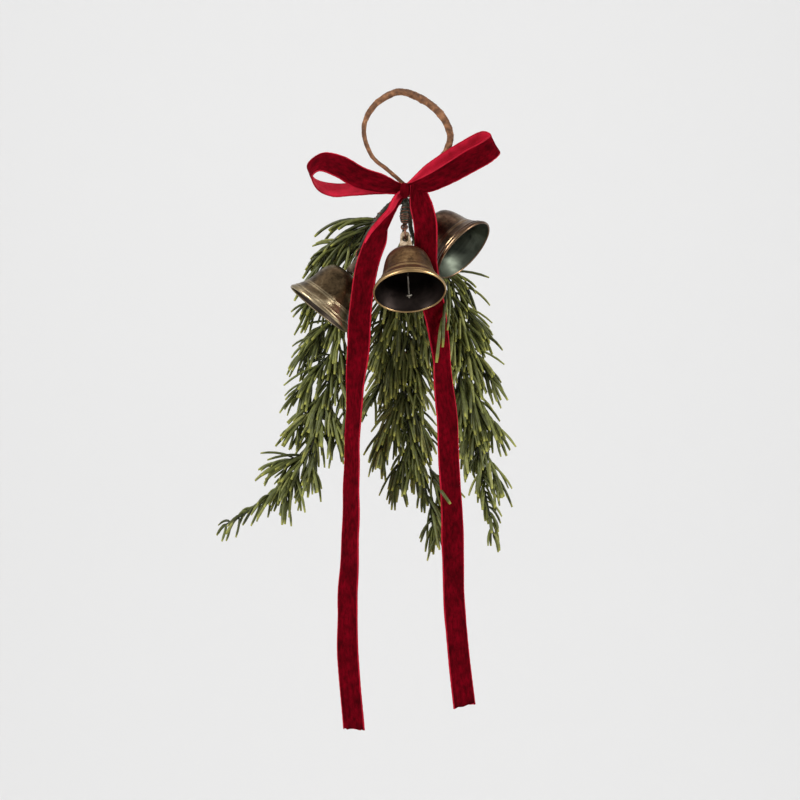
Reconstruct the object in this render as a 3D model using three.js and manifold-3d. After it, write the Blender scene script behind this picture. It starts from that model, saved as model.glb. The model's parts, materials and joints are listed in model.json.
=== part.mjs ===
// A hanging Christmas bell ornament: a paper-wrapped wire hanger, a velvet bow with two long tails,
// three sprays of soft needle foliage and three wired brass bells with swinging clappers.
// Millimetres, +Z up. The origin is the hook point, the inside top of the hanger loop.
// The front of the ornament faces -Y and its right-hand side is +X.

import * as THREE from 'three';
import { mergeVertices } from 'three/addons/utils/BufferGeometryUtils.js';
import Module from 'manifold-3d';

const wasm = await Module();
wasm.setup();

// ---------------------------------------------------------------- driving dimensions

const GAP = 0.3;                 // clearance between neighbouring pieces

const CORE_WIRE_R = 0.7;         // steel wire inside the hanger
const BINDING_R = 4.2;           // tape binding that gathers every stem at the neck
const BINDING_TOP = -58.9;
const BINDING_BOTTOM = -66.0;
const NECK_X = 2.6;

const RIBBON_WIDTH = 15.4;       // velvet ribbon
const RIBBON_THICKNESS = 0.9;

const MOUTH_R = 23.1;            // bell: radius at the mouth, heights measured up from the mouth
const BELL_HEIGHT = 31.1;
const BELL_WALL = 1.1;
const HOLE_H = 41.0;             // height of the lug hole
const LUG_TOP_H = 47.3;
const LUG_BASE_HALF = 5.5;
const LUG_TOP_HALF = 3.2;
const LUG_THICKNESS = 4.0;
const LUG_HOLE_R = 2.1;
const STUD_R = 1.7;              // stud below the lug, through the dome
const STUD_END_H = 29.0;
const STUD_OVERLAP = 1.0;        // how far the stud runs up into the lug

const RING_R = 4.5;              // wire ring through the lug hole
const RING_WIRE_R = 0.5;
const RING_LOW_H = 41.8;         // where the ring's wire lies in the hole
const STEM_EYE_R = 1.9;          // eye at the end of a bell's stem
const STEM_EYE_WIRE_R = 0.55;

const CLAPPER_EYE_R = 1.5;       // linked eyes of the clapper hook and the clapper rod
const CLAPPER_EYE_WIRE_R = 0.45;
const HOOK_EYE_H = 25.9;
const HOOK_NUT_R = 3;            // nut that holds the hook on the end of the stud
const HOOK_NUT_HEIGHT = 0.8;
const HOOK_NECK_R = 0.7;
const CLAPPER_ROD_R = 0.5;
const CLAPPER_LENGTH = 22.0;     // pivot to the middle of the striker disc
const STRIKER_R = 2.1;
const STRIKER_THICKNESS = 1.3;

// ---------------------------------------------------------------- materials

const finish = (color, roughness, metalness) =>
  () => new THREE.MeshStandardMaterial({ color, roughness, metalness });

const KRAFT_PAPER = finish(0x8a5a38, 0.85, 0);
const STEEL_WIRE = finish(0x8d8a80, 0.4, 0.9);
const FLORAL_TAPE = finish(0x3b3a22, 0.8, 0);
const RED_VELVET = finish(0x7d0d1c, 0.95, 0);
const FOLIAGE = finish(0x4a5527, 0.6, 0);
const AGED_BRASS = finish(0x8c6d3f, 0.35, 0.95);
const CAST_LUG = finish(0xc9b795, 0.6, 0.3);
const PALE_BRASS = finish(0xcdb476, 0.35, 0.9);

// ---------------------------------------------------------------- geometry helpers

const vec = ([x, y, z]) => new THREE.Vector3(x, y, z);

const ornament = new THREE.Group();

function piece(name, geometry, material, parent = ornament) {
  const mesh = new THREE.Mesh(geometry, material());
  mesh.name = name;
  parent.add(mesh);
  return mesh;
}

// A closed body through a row of rings, each ring the same number of points seen counter-clockwise
// from the far end, so that faces point outwards. The two ends are closed with fans.
function loft(rings) {
  const sides = rings[0].length;
  const positions = [];
  const triangles = [];
  rings.flat().forEach((p) => positions.push(p.x, p.y, p.z));
  for (let i = 0; i + 1 < rings.length; i += 1) {
    for (let j = 0; j < sides; j += 1) {
      const a = i * sides + j;
      const b = i * sides + (j + 1) % sides;
      triangles.push(a, b, b + sides, a, b + sides, a + sides);
    }
  }
  const last = (rings.length - 1) * sides;
  for (let j = 1; j + 1 < sides; j += 1) {
    triangles.push(0, j + 1, j);
    triangles.push(last, last + j, last + j + 1);
  }
  const geometry = new THREE.BufferGeometry();
  geometry.setAttribute('position', new THREE.Float32BufferAttribute(positions, 3));
  geometry.setIndex(triangles);
  geometry.computeVertexNormals();
  return geometry;
}

// A round body of changing radius along a smooth curve. Points are [x, y, z, radius].
// flat squeezes the section along Y, for foliage that lies flat.
function taperedRod(points, sides, steps, flat = 1) {
  const curve = new THREE.CatmullRomCurve3(points.map(vec), false, 'centripetal');
  const rings = [];
  for (let i = 0; i <= steps; i += 1) {
    const t = i / steps;
    const along = t * (points.length - 1);
    const k = Math.min(Math.floor(along), points.length - 2);
    const radius = THREE.MathUtils.lerp(points[k][3], points[k + 1][3], along - k);
    const centre = curve.getPoint(t);
    const tangent = curve.getTangent(t);
    const across = new THREE.Vector3(0, 1, 0).cross(tangent);
    if (across.lengthSq() < 0.01) across.set(1, 0, 0);
    across.normalize();
    const depth = tangent.clone().cross(across).normalize();
    const ring = [];
    for (let j = 0; j < sides; j += 1) {
      const angle = (j / sides) * 2 * Math.PI;
      ring.push(centre.clone()
        .addScaledVector(across, radius * Math.cos(angle))
        .addScaledVector(depth, radius * flat * Math.sin(angle)));
    }
    rings.push(ring);
  }
  return loft(rings);
}

// A ribbon along a smooth path. Stations are [x, y, z, wx, wy, wz, width], where w is the
// direction that the width lies in, roughly square to the path.
function ribbon(stations, steps) {
  const path = new THREE.CatmullRomCurve3(stations.map(vec), false, 'centripetal');
  const rings = [];
  for (let i = 0; i <= steps; i += 1) {
    const t = i / steps;
    const along = t * (stations.length - 1);
    const k = Math.min(Math.floor(along), stations.length - 2);
    const blend = along - k;
    const across = vec(stations[k].slice(3)).normalize()
      .lerp(vec(stations[k + 1].slice(3)).normalize(), blend);
    const width = THREE.MathUtils.lerp(stations[k][6], stations[k + 1][6], blend);
    const centre = path.getPoint(t);
    const tangent = path.getTangent(t);
    across.addScaledVector(tangent, -across.dot(tangent)).normalize();
    const face = tangent.clone().cross(across).normalize();
    const corner = (side, out) => centre.clone()
      .addScaledVector(across, side * width / 2)
      .addScaledVector(face, out * RIBBON_THICKNESS / 2);
    rings.push([corner(1, 1), corner(-1, 1), corner(-1, -1), corner(1, -1)]);
  }
  return loft(rings);
}

function toSolid(geometry) {
  const bare = geometry.clone();
  bare.deleteAttribute('normal');
  bare.deleteAttribute('uv');
  const merged = mergeVertices(bare, 1e-4);
  return new wasm.Manifold(new wasm.Mesh({
    numProp: 3,
    vertProperties: new Float32Array(merged.attributes.position.array),
    triVerts: new Uint32Array(merged.index.array),
  }));
}

function toGeometry(solid) {
  const mesh = solid.getMesh();
  const geometry = new THREE.BufferGeometry();
  geometry.setAttribute('position', new THREE.BufferAttribute(new Float32Array(mesh.vertProperties), 3));
  geometry.setIndex(new THREE.BufferAttribute(new Uint32Array(mesh.triVerts), 1));
  geometry.computeVertexNormals();
  return geometry;
}

const join = (...parts) => toGeometry(parts.map(toSolid).reduce((a, b) => a.add(b)));
const cut = (part, tool) => toGeometry(toSolid(part).subtract(toSolid(tool)));

// A Z-aligned cylinder between two heights, at (x, y).
function post(radius, low, high, sides, x = 0, y = 0) {
  return new THREE.CylinderGeometry(radius, radius, high - low, sides)
    .rotateX(Math.PI / 2)
    .translate(x, y, (low + high) / 2);
}

// ---------------------------------------------------------------- hanger

// The loop's centreline and the radius of the paper wrap, from the left leg over the top to the right.
const HANGER_PATH = [
  [0.4, 0, -57.4, 1.2], [-8.5, 0, -49.7, 1.3], [-20.5, 0, -39, 1.35], [-25.5, 0, -21.5, 1.5],
  [-19.5, 0, -7.5, 1.95], [-7.8, 0, 0.8, 2.3], [-0.65, 0, 2.3, 2.3], [11.4, 0, -2, 2.5],
  [24.7, 0, -12.7, 2.5], [30.7, 0, -26, 2.15], [26.7, 0, -38.7, 2.3], [15.6, 0, -48.8, 2],
  [5.2, 0, -57.4, 1.6],
];

function buildHanger() {
  const wireBore = HANGER_PATH.map(([x, y, z]) => [x, y, z, CORE_WIRE_R + GAP]);
  const wire = HANGER_PATH.map(([x, y, z]) => [x, y, z, CORE_WIRE_R]);
  // The bore's ends run a little past the wrap's, so that both ends of the wrap are open.
  wireBore[0] = [0.9, 0, -57.85, CORE_WIRE_R + GAP];
  wireBore[wireBore.length - 1] = [4.7, 0, -57.85, CORE_WIRE_R + GAP];
  piece('hanger_wrap', cut(taperedRod(HANGER_PATH, 10, 44), taperedRod(wireBore, 6, 44)), KRAFT_PAPER);
  piece('hanger_core_wire', taperedRod(wire, 6, 44), STEEL_WIRE);
  piece('neck_binding', post(BINDING_R, BINDING_BOTTOM, BINDING_TOP, 16, NECK_X, 0), FLORAL_TAPE);
}

// ---------------------------------------------------------------- velvet ribbon

// The left loop: the front band from the knot to the left end, then the back band returning.
const LOOP_LEFT = [
  [-5.2, -7.5, -60.6, 0.25, 0.25, 1, 8.5], [-15, -10.5, -58.2, 0.2, -0.1, 1, 13],
  [-28, -12, -54.6, 0.25, -0.1, 1, 14.4], [-41, -11.5, -47.4, 0.3, 0.2, 1, 14.6],
  [-53, -8.5, -44.2, 0.1, 0.6, 1, 14.2], [-60.4, -1.5, -49.2, -0.4, 0.9, 0.8, 12.6],
  [-56.5, 5.5, -57.2, -0.2, 1.1, 0.8, 13.6], [-45, 7.6, -61.2, 0.1, 1.0, 0.9, 14.4],
  [-32, 5.5, -60.6, 0.1, 1.0, 0.9, 14.2], [-19, 1.5, -60.2, 0.1, 0.9, 1, 11.5],
  [-9.6, -1.6, -60.9, 0.1, 0.6, 1, 8],
];

// The right loop: the front band from the knot out to the right, then the back band above it.
const LOOP_RIGHT = [
  [6.4, -8.5, -60.4, -0.2, 0.1, 1, 8.5], [16.9, -13, -57.4, -0.4, -0.15, 1, 13.4],
  [30.5, -16, -50.9, -0.45, -0.25, 1, 14.6], [43.6, -17, -44, -0.5, -0.3, 1, 15],
  [54, -15, -38, -0.5, -0.4, 1, 15], [59.4, -9, -32.4, -0.55, -0.5, 0.9, 14.4],
  [53.5, -3.2, -30, -0.5, -0.5, 0.9, 14.4], [40.3, -3.6, -36.4, -0.5, -0.4, 0.9, 13.4],
  [28, -6.2, -45, -0.5, -0.2, 0.9, 11.5], [17.5, -6.8, -52.2, -0.5, -0.1, 1, 9],
  [8.4, -4.8, -57.6, -0.4, 0.1, 1, 5.5],
];

// The tails hang from the knot; the width direction turns with the twist of the ribbon.
const TAIL_LEFT = [
  [-4.2, -8.2, -68.6, 1, 0.6, -0.9, 8], [-8.1, -10, -76.7, 1, 0.9, -0.5, 11],
  [-14.6, -13, -84.5, 1, 0.8, -0.4, 13], [-18.6, -16.5, -95.4, 1, 0.15, -0.15, RIBBON_WIDTH],
  [-21.8, -21, -107.9, 1, 0, -0.1, RIBBON_WIDTH], [-25.5, -23.5, -123.5, 1, -0.1, 0, RIBBON_WIDTH],
  [-27.8, -21.5, -146.9, 1, -0.3, 0, RIBBON_WIDTH], [-29.6, -14.5, -175.5, 1, -0.5, 0, RIBBON_WIDTH],
  [-31.9, -10, -204.8, 1, -1.3, 0, RIBBON_WIDTH], [-33.2, -10, -243.8, 1, -1.2, 0, RIBBON_WIDTH],
  [-34.1, -10, -282.8, 1, -0.9, 0, RIBBON_WIDTH], [-35.4, -10, -322, 1, -0.8, 0, RIBBON_WIDTH],
  [-35.6, -10, -360.8, 1, -0.5, 0, RIBBON_WIDTH], [-31.8, -10, -410.6, 1, -0.5, 0, RIBBON_WIDTH],
];

const TAIL_RIGHT = [
  [8.6, -9.4, -67.2, 1, -0.1, 0.2, 9], [11.9, -10.4, -73.5, 1, -0.2, 0.1, 14],
  [14.2, -13.2, -84, 1, -0.25, 0, RIBBON_WIDTH], [14.8, -12.9, -96, 1, -0.4, 0, RIBBON_WIDTH],
  [14.5, -11.2, -110, 1, -0.3, 0, RIBBON_WIDTH], [17.4, -10, -129, 1, 0.1, 0, RIBBON_WIDTH],
  [21.6, -8.2, -147, 1, 0.6, 0, RIBBON_WIDTH], [25, -8, -172.3, 1, 0.9, 0, RIBBON_WIDTH],
  [27.3, -8, -198.3, 1, 0.6, 0, RIBBON_WIDTH], [29.6, -8, -234, 1, 0.55, 0, RIBBON_WIDTH],
  [31.5, -8, -273, 1, 0.5, 0, RIBBON_WIDTH], [32.5, -8, -312, 1, 0.5, 0, RIBBON_WIDTH],
  [34.8, -8, -351, 1, 0.5, 0, RIBBON_WIDTH], [39.6, -8, -396, 1, 0.4, 0, RIBBON_WIDTH],
];

const KNOT = { x: 0.9, y: -8.4, z: -62.6, width: 8.2, depth: 6.6, height: 10.4 };

function buildBow() {
  piece('bow_loop_left', ribbon(LOOP_LEFT, 34), RED_VELVET);
  piece('bow_loop_right', ribbon(LOOP_RIGHT, 34), RED_VELVET);
  piece('ribbon_tail_left', ribbon(TAIL_LEFT, 30), RED_VELVET);
  piece('ribbon_tail_right', ribbon(TAIL_RIGHT, 30), RED_VELVET);
  const knot = new THREE.SphereGeometry(0.5, 14, 10)
    .scale(KNOT.width, KNOT.depth, KNOT.height)
    .translate(KNOT.x, KNOT.y, KNOT.z);
  piece('bow_knot', knot, RED_VELVET);
}

// ---------------------------------------------------------------- bells

const ORIGIN_H = HOLE_H;
const RING_TOP_H = RING_LOW_H + 2 * RING_R;
const EYE_STEP = RING_WIRE_R + STEM_EYE_WIRE_R + GAP;

// Each bell is placed by its lug hole. mouthward points from the crown to the mouth, bore is the
// lug hole's axis. linkTurn turns the wire ring about the bore, from in line with the bell, and
// clapperTurn swings the clapper from the bell's axis towards the bore's positive end, in degrees.
const BELLS = [
  {
    name: 'left',
    hole: [-29.3, -2.5, -107.9],
    mouthward: [-0.6295, -0.0698, -0.7741],
    bore: [0.776, 0, -0.631],
    linkTurn: 0,
    clapperTurn: 37,
    stem: [[-0.3, -0.5, -66.5, 1], [-0.7, -0.5, -67.6, 1.1], [-7.2, -1.5, -70.3, 1.7],
      [-15.6, -3.2, -79.3, 1.9], [-19.6, -3.6, -86, 1.7], [-22.8, -3, -95.4, 1.2]],
  },
  {
    name: 'centre',
    hole: [1.5, -14, -95],
    mouthward: [0.0651, -0.5291, -0.8461],
    bore: [0, 0.848, -0.53],
    linkTurn: 0,
    clapperTurn: 31,
    stem: [[1.8, -2.7, -66.5, 1.1], [1.8, -2.9, -67.8, 1.4], [1.6, -4.5, -72, 2.6],
      [1.1, -7, -79, 3], [1, -8.1, -82.6, 2.2]],
  },
  {
    name: 'right',
    hole: [12, 20.4, -74.4],
    mouthward: [0.682, -0.35, -0.643],
    bore: [0.6865, 0, 0.728],
    linkTurn: 50,
    clapperTurn: -44,
    stem: [[5.5, -0.6, -66.5, 1], [5.7, -0.4, -67.6, 1.1], [8.6, 4, -69, 1.3], [8, 10.5, -68.4, 1.3]],
  },
];

// A closed loop of wire about the Z axis. The radius is that of the wire's centreline.
function wireRing(radius, wireRadius, segments = 14) {
  return new THREE.TorusGeometry(radius, wireRadius, 6, segments);
}

function shellGeometry() {
  const outer = [[MOUTH_R, 0], [23.4, 2], [20.3, 6.5], [17.2, 12.9], [15.2, 20.7], [13, 26.3],
    [10.6, 29.5], [6.5, 30.7], [2.1, BELL_HEIGHT]];
  const inner = [[2.1, BELL_HEIGHT - BELL_WALL], [6.2, 29.6], [9.9, 28.5], [11.9, 25.9], [14.1, 20.5],
    [16.1, 12.6], [19.2, 6.1], [MOUTH_R - BELL_WALL, 1.4], [MOUTH_R - BELL_WALL, 0]];
  const outline = [...outer, ...inner, outer[0]].map(([r, h]) => new THREE.Vector2(r, h - ORIGIN_H));
  return new THREE.LatheGeometry(outline, 24).rotateX(Math.PI / 2);
}

function lugGeometry() {
  const base = BELL_HEIGHT + GAP;
  const outline = new THREE.Shape();
  outline.moveTo(-LUG_BASE_HALF, base);
  outline.lineTo(LUG_BASE_HALF, base);
  outline.lineTo(LUG_TOP_HALF, LUG_TOP_H - LUG_TOP_HALF);
  outline.absarc(0, LUG_TOP_H - LUG_TOP_HALF, LUG_TOP_HALF, 0, Math.PI, false);
  outline.closePath();
  const hole = new THREE.Path();
  hole.absarc(0, HOLE_H, LUG_HOLE_R, 0, 2 * Math.PI, true);
  outline.holes.push(hole);
  const plate = new THREE.ExtrudeGeometry(outline, {
    depth: LUG_THICKNESS, bevelEnabled: false, curveSegments: 6,
  });
  plate.translate(0, -ORIGIN_H, -LUG_THICKNESS / 2).rotateX(Math.PI / 2);
  return join(plate, post(STUD_R, STUD_END_H - ORIGIN_H, base + STUD_OVERLAP - ORIGIN_H, 10));
}

// The hook under the dome: a nut on the end of the stud with an eye for the clapper.
function clapperHookGeometry() {
  const top = STUD_END_H - GAP - ORIGIN_H;
  const eye = wireRing(CLAPPER_EYE_R, CLAPPER_EYE_WIRE_R)
    .rotateX(Math.PI / 2)
    .translate(0, 0, HOOK_EYE_H - ORIGIN_H);
  const neck = post(HOOK_NECK_R, HOOK_EYE_H + CLAPPER_EYE_R - ORIGIN_H, top - HOOK_NUT_HEIGHT / 2, 8);
  return join(post(HOOK_NUT_R, top - HOOK_NUT_HEIGHT, top, 6), neck, eye);
}

const CLAPPER_PIVOT_H = HOOK_EYE_H - CLAPPER_EYE_R;

// The clapper is modelled hanging straight below its pivot, which is its own origin.
function clapperRodGeometry() {
  const eyeCentre = 2 * CLAPPER_EYE_WIRE_R + GAP - CLAPPER_EYE_R;
  const eye = wireRing(CLAPPER_EYE_R, CLAPPER_EYE_WIRE_R)
    .rotateY(Math.PI / 2)
    .translate(0, 0, eyeCentre);
  const rod = post(CLAPPER_ROD_R, -CLAPPER_LENGTH - 1, eyeCentre - CLAPPER_EYE_R, 8);
  return join(eye, rod);
}

function strikerGeometry() {
  const bore = CLAPPER_ROD_R + GAP;
  const half = STRIKER_THICKNESS / 2;
  const section = [[bore, -half], [STRIKER_R, -half], [STRIKER_R, half], [bore, half], [bore, -half]];
  return new THREE.LatheGeometry(section.map(([r, h]) => new THREE.Vector2(r, h)), 16)
    .rotateX(Math.PI / 2)
    .translate(0, 0, -CLAPPER_LENGTH);
}

function buildBell(bell) {
  const down = vec(bell.mouthward).normalize();
  const bore = vec(bell.bore);
  bore.addScaledVector(down, -bore.dot(down)).normalize();
  const up = down.clone().negate();
  const side = bore.clone().cross(up);

  // Bell axes: X is square to the bore, Y is along the bore, Z points up through the crown.
  const body = new THREE.Group();
  body.setRotationFromMatrix(new THREE.Matrix4().makeBasis(side, bore, up));
  body.position.fromArray(bell.hole);
  ornament.add(body);

  piece(`bell_${bell.name}_shell`, shellGeometry(), AGED_BRASS, body);
  piece(`bell_${bell.name}_lug`, lugGeometry(), CAST_LUG, body);
  piece(`bell_${bell.name}_clapper_hook`, clapperHookGeometry(), PALE_BRASS, body);

  const clapper = new THREE.Group();
  clapper.position.set(0, 0, CLAPPER_PIVOT_H - ORIGIN_H);
  clapper.rotation.x = THREE.MathUtils.degToRad(bell.clapperTurn);
  body.add(clapper);
  piece(`bell_${bell.name}_clapper_rod`, clapperRodGeometry(), PALE_BRASS, clapper);
  piece(`bell_${bell.name}_striker`, strikerGeometry(), PALE_BRASS, clapper);

  // The wire ring turns about the place where its wire lies in the lug hole.
  const link = new THREE.Group();
  link.position.set(0, 0, RING_LOW_H - ORIGIN_H);
  link.rotation.y = THREE.MathUtils.degToRad(bell.linkTurn);
  body.add(link);
  const ring = wireRing(RING_R, RING_WIRE_R, 20).rotateY(Math.PI / 2).translate(0, 0, RING_R);
  piece(`bell_${bell.name}_wire_ring`, ring, STEEL_WIRE, link);

  // The stem's eye encloses the top of the ring.
  const eye = wireRing(STEM_EYE_R, STEM_EYE_WIRE_R)
    .rotateX(Math.PI / 2)
    .translate(0, 0, RING_TOP_H - RING_LOW_H - EYE_STEP + STEM_EYE_R);
  ornament.updateMatrixWorld(true);
  eye.applyMatrix4(link.matrixWorld);
  const eyeTop = new THREE.Vector3(0, 0, RING_TOP_H - RING_LOW_H - EYE_STEP + 2 * STEM_EYE_R)
    .applyMatrix4(link.matrixWorld);
  const route = [...bell.stem, [eyeTop.x, eyeTop.y, eyeTop.z, 0.8]];
  piece(`bell_${bell.name}_stem`, join(taperedRod(route, 8, 16), eye), FLORAL_TAPE);
}

// ---------------------------------------------------------------- foliage sprays

const SPRIG_HALF_WIDTH = 4.4;
const SPRIG_FLATNESS = 0.5;
const SPRIG_END_R = 0.8;

// Each spray is a wired stem with soft sprigs. A sprig goes from its root to its tip and droops
// a little on the way; each is a plain flattened spindle around its needles.
const SPRAYS = [
  {
    name: 'left',
    stem: [[0.4, 1.9, -66.5, 1], [0.2, 2.2, -67.8, 1.1], [-7, 4.4, -73, 1.6], [-19.5, 9, -84, 1.5],
      [-28, 15, -97.5, 1.2], [-37.7, 24, -133, 1.1], [-46, 24, -172, 1], [-54, 19, -211, 0.9],
      [-67, 16, -240, 0.8], [-89.7, 14, -263, 0.7]],
    sprigs: [
      [[-25, 10.5, -87], [-67, 21, -114]], [[-35, 24, -114], [-75, 25, -152]],
      [[-43, 26, -143], [-75, 26, -184]], [[-48.5, 25, -168], [-77, 22, -213]],
      [[-54, 21.5, -197], [-79, 20, -233]], [[-34, 22, -132], [-29.5, 20, -177]],
      [[-41, 24, -165], [-37.5, 20, -206]], [[-48.5, 20, -201], [-42, 18, -241]],
      [[-58, 17, -231], [-60, 16, -266]], [[-92, 14, -264.3], [-123, 12, -282.6]],
    ],
  },
  {
    name: 'centre',
    stem: [[2.6, 2.9, -66.5, 1], [2.6, 3.3, -68.5, 1.1], [0.5, 8, -90, 1.3], [-0.65, 10, -107, 1.2],
      [-2, 10, -146, 1.1], [0, 10, -185, 1], [5.9, 11, -224, 0.9], [14.3, 11, -257, 0.7]],
    sprigs: [
      [[-5, 10, -136], [-20, 8, -172]], [[-5, 10, -166], [-22, 8, -216]],
      [[-2, 10, -197], [-19, 9, -252]], [[2.6, 11, -228], [-6, 10, -268]],
      [[1.4, 10, -150], [12, 9, -196]], [[6, 11, -202], [17, 10, -242]],
      [[17.5, 11, -243], [31, 10, -279]], [[15.3, 11, -260], [24.5, 10, -306]],
    ],
  },
  {
    name: 'right',
    stem: [[4.8, 1.9, -66.5, 1], [4.8, 2.6, -68.6, 1.1], [4.6, 8, -76, 1.4], [5.5, 18, -87, 1.4],
      [12, 29, -99, 1.3], [24, 33, -110, 1.2], [31.9, 30, -122, 1.1], [41.6, 25, -159, 1],
      [46, 20, -198, 0.9], [49.4, 16, -231, 0.8], [52, 14, -252, 0.7]],
    sprigs: [
      [[31, 33.5, -113], [50, 31, -134]], [[39, 29, -136], [57.5, 26, -168]],
      [[45.5, 25, -164], [62.5, 22, -201]], [[49, 20, -196], [65.5, 18, -233]],
      [[52, 16, -228], [64.5, 14, -267]], [[33.5, 27.5, -138], [31, 24, -181]],
      [[40, 23.5, -172], [37, 20, -215]], [[44, 18.5, -207], [41.5, 16, -248]],
      [[52.6, 13.8, -255], [60.8, 12, -295.5]],
    ],
  },
];

function sprigGeometry([root, tip]) {
  const droop = Math.hypot(tip[0] - root[0], tip[2] - root[2]) * 0.04 * Math.sign(tip[0] - root[0]);
  const at = (t, lift) => [0, 1, 2].map((i) => THREE.MathUtils.lerp(root[i], tip[i], t) + lift[i]);
  const bend = [droop, 0, Math.abs(droop) * 0.6];
  return taperedRod([
    [...root, SPRIG_END_R],
    [...at(0.35, bend), SPRIG_HALF_WIDTH],
    [...at(0.7, bend), SPRIG_HALF_WIDTH],
    [...tip, SPRIG_END_R],
  ], 6, 6, SPRIG_FLATNESS);
}

function buildSpray(spray) {
  piece(`spray_${spray.name}_stem`, taperedRod(spray.stem, 6, 30), FLORAL_TAPE);
  spray.sprigs.forEach((sprig, i) => {
    piece(`spray_${spray.name}_sprig_${i + 1}`, sprigGeometry(sprig), FOLIAGE);
  });
}

buildHanger();
buildBow();
BELLS.forEach(buildBell);
SPRAYS.forEach(buildSpray);

export default ornament;
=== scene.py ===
"""Looks for the hanging Christmas bell ornament: velvet bow, foliage sprays and antique brass bells."""
import json
import math
import random

import bmesh
import bpy
from mathutils import Matrix, Vector, noise


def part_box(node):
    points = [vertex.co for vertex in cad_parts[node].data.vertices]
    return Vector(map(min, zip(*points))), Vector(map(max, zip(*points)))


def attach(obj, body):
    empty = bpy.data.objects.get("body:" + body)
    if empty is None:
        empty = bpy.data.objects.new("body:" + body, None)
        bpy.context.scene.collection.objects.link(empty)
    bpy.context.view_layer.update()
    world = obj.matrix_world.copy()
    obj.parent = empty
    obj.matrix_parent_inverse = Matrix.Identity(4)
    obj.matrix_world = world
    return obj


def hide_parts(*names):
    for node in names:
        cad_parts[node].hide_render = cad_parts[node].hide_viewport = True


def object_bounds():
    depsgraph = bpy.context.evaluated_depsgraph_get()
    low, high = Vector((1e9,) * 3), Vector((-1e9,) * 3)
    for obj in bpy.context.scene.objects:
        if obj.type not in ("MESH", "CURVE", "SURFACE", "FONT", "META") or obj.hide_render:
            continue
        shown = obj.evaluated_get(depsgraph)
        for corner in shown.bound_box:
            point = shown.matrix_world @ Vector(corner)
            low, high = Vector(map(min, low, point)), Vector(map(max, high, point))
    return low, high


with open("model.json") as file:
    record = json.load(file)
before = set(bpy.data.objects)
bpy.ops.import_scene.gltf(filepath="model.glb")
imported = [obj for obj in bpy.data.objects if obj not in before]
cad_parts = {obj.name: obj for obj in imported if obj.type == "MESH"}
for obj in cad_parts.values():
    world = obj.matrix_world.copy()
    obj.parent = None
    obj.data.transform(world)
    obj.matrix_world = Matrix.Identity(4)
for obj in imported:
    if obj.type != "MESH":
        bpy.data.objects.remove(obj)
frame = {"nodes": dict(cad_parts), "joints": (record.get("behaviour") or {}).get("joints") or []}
CAD_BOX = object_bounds()

MM = 0.001
SIDES = ("left", "centre", "right")

# ------------------------------------------------------------------ routes, in millimetres

HANGER_PATH = [
    (0.4, 0, -57.4, 1.2), (-8.5, 0, -49.7, 1.3), (-20.5, 0, -39, 1.35), (-25.5, 0, -21.5, 1.5),
    (-19.5, 0, -7.5, 1.95), (-7.8, 0, 0.8, 2.3), (-0.65, 0, 2.3, 2.3), (11.4, 0, -2, 2.5),
    (24.7, 0, -12.7, 2.5), (30.7, 0, -26, 2.15), (26.7, 0, -38.7, 2.3), (15.6, 0, -48.8, 2),
    (5.2, 0, -57.4, 1.6),
]

RIBBON_WIDTH = 15.4
RIBBON_THICKNESS = 0.9

# Ribbon stations: place, direction of the width, width. They follow the CAD's, except that the inner
# ends run on into the knot and the left tail is narrower at its top and stands forward by the left bell.
LOOP_LEFT = [
    (-1.2, -6.4, -61.9, 0.25, 0.25, 1, 7.5),
    (-5.2, -7.5, -60.6, 0.25, 0.25, 1, 8.5), (-15, -10.5, -58.2, 0.2, -0.1, 1, 13),
    (-28, -12, -54.6, 0.25, -0.1, 1, 14.4), (-41, -11.5, -47.4, 0.3, 0.2, 1, 14.6),
    (-53, -8.5, -44.2, 0.1, 0.6, 1, 14.2), (-60.4, -1.5, -49.2, -0.4, 0.9, 0.8, 12.6),
    (-56.5, 5.5, -57.2, -0.2, 1.1, 0.8, 13.6), (-45, 7.6, -61.2, 0.1, 1.0, 0.9, 14.4),
    (-32, 5.5, -60.6, 0.1, 1.0, 0.9, 14.2), (-19, 1.5, -60.2, 0.1, 0.9, 1, 11.5),
    (-9.6, -1.6, -60.9, 0.1, 0.6, 1, 8), (-3.2, -4.4, -61.7, 0.1, 0.4, 1, 6.5),
]
LOOP_RIGHT = [
    (2.6, -7.2, -61.8, -0.2, 0.1, 1, 7.5),
    (6.4, -8.5, -60.8, -0.2, 0.1, 1, 7.5), (16.9, -13, -58.3, -0.4, -0.15, 1, 11.4),
    (30.5, -16, -51.7, -0.45, -0.25, 1, 13.6), (43.6, -17, -44, -0.5, -0.3, 1, 15),
    (54, -15, -38, -0.5, -0.4, 1, 15), (59.4, -9, -32.4, -0.55, -0.5, 0.9, 14.4),
    (53.5, -3.2, -30, -0.5, -0.5, 0.9, 14.4), (40.3, -3.6, -36.4, -0.5, -0.4, 0.9, 13.4),
    (28, -6.2, -44.2, -0.5, -0.2, 0.9, 13), (17.5, -6.8, -50.8, -0.5, -0.1, 1, 11.5),
    (8.4, -5.4, -57.2, -0.4, 0.1, 1, 8), (3.4, -5.2, -60.4, -0.4, 0.1, 1, 5.5),
]
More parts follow.
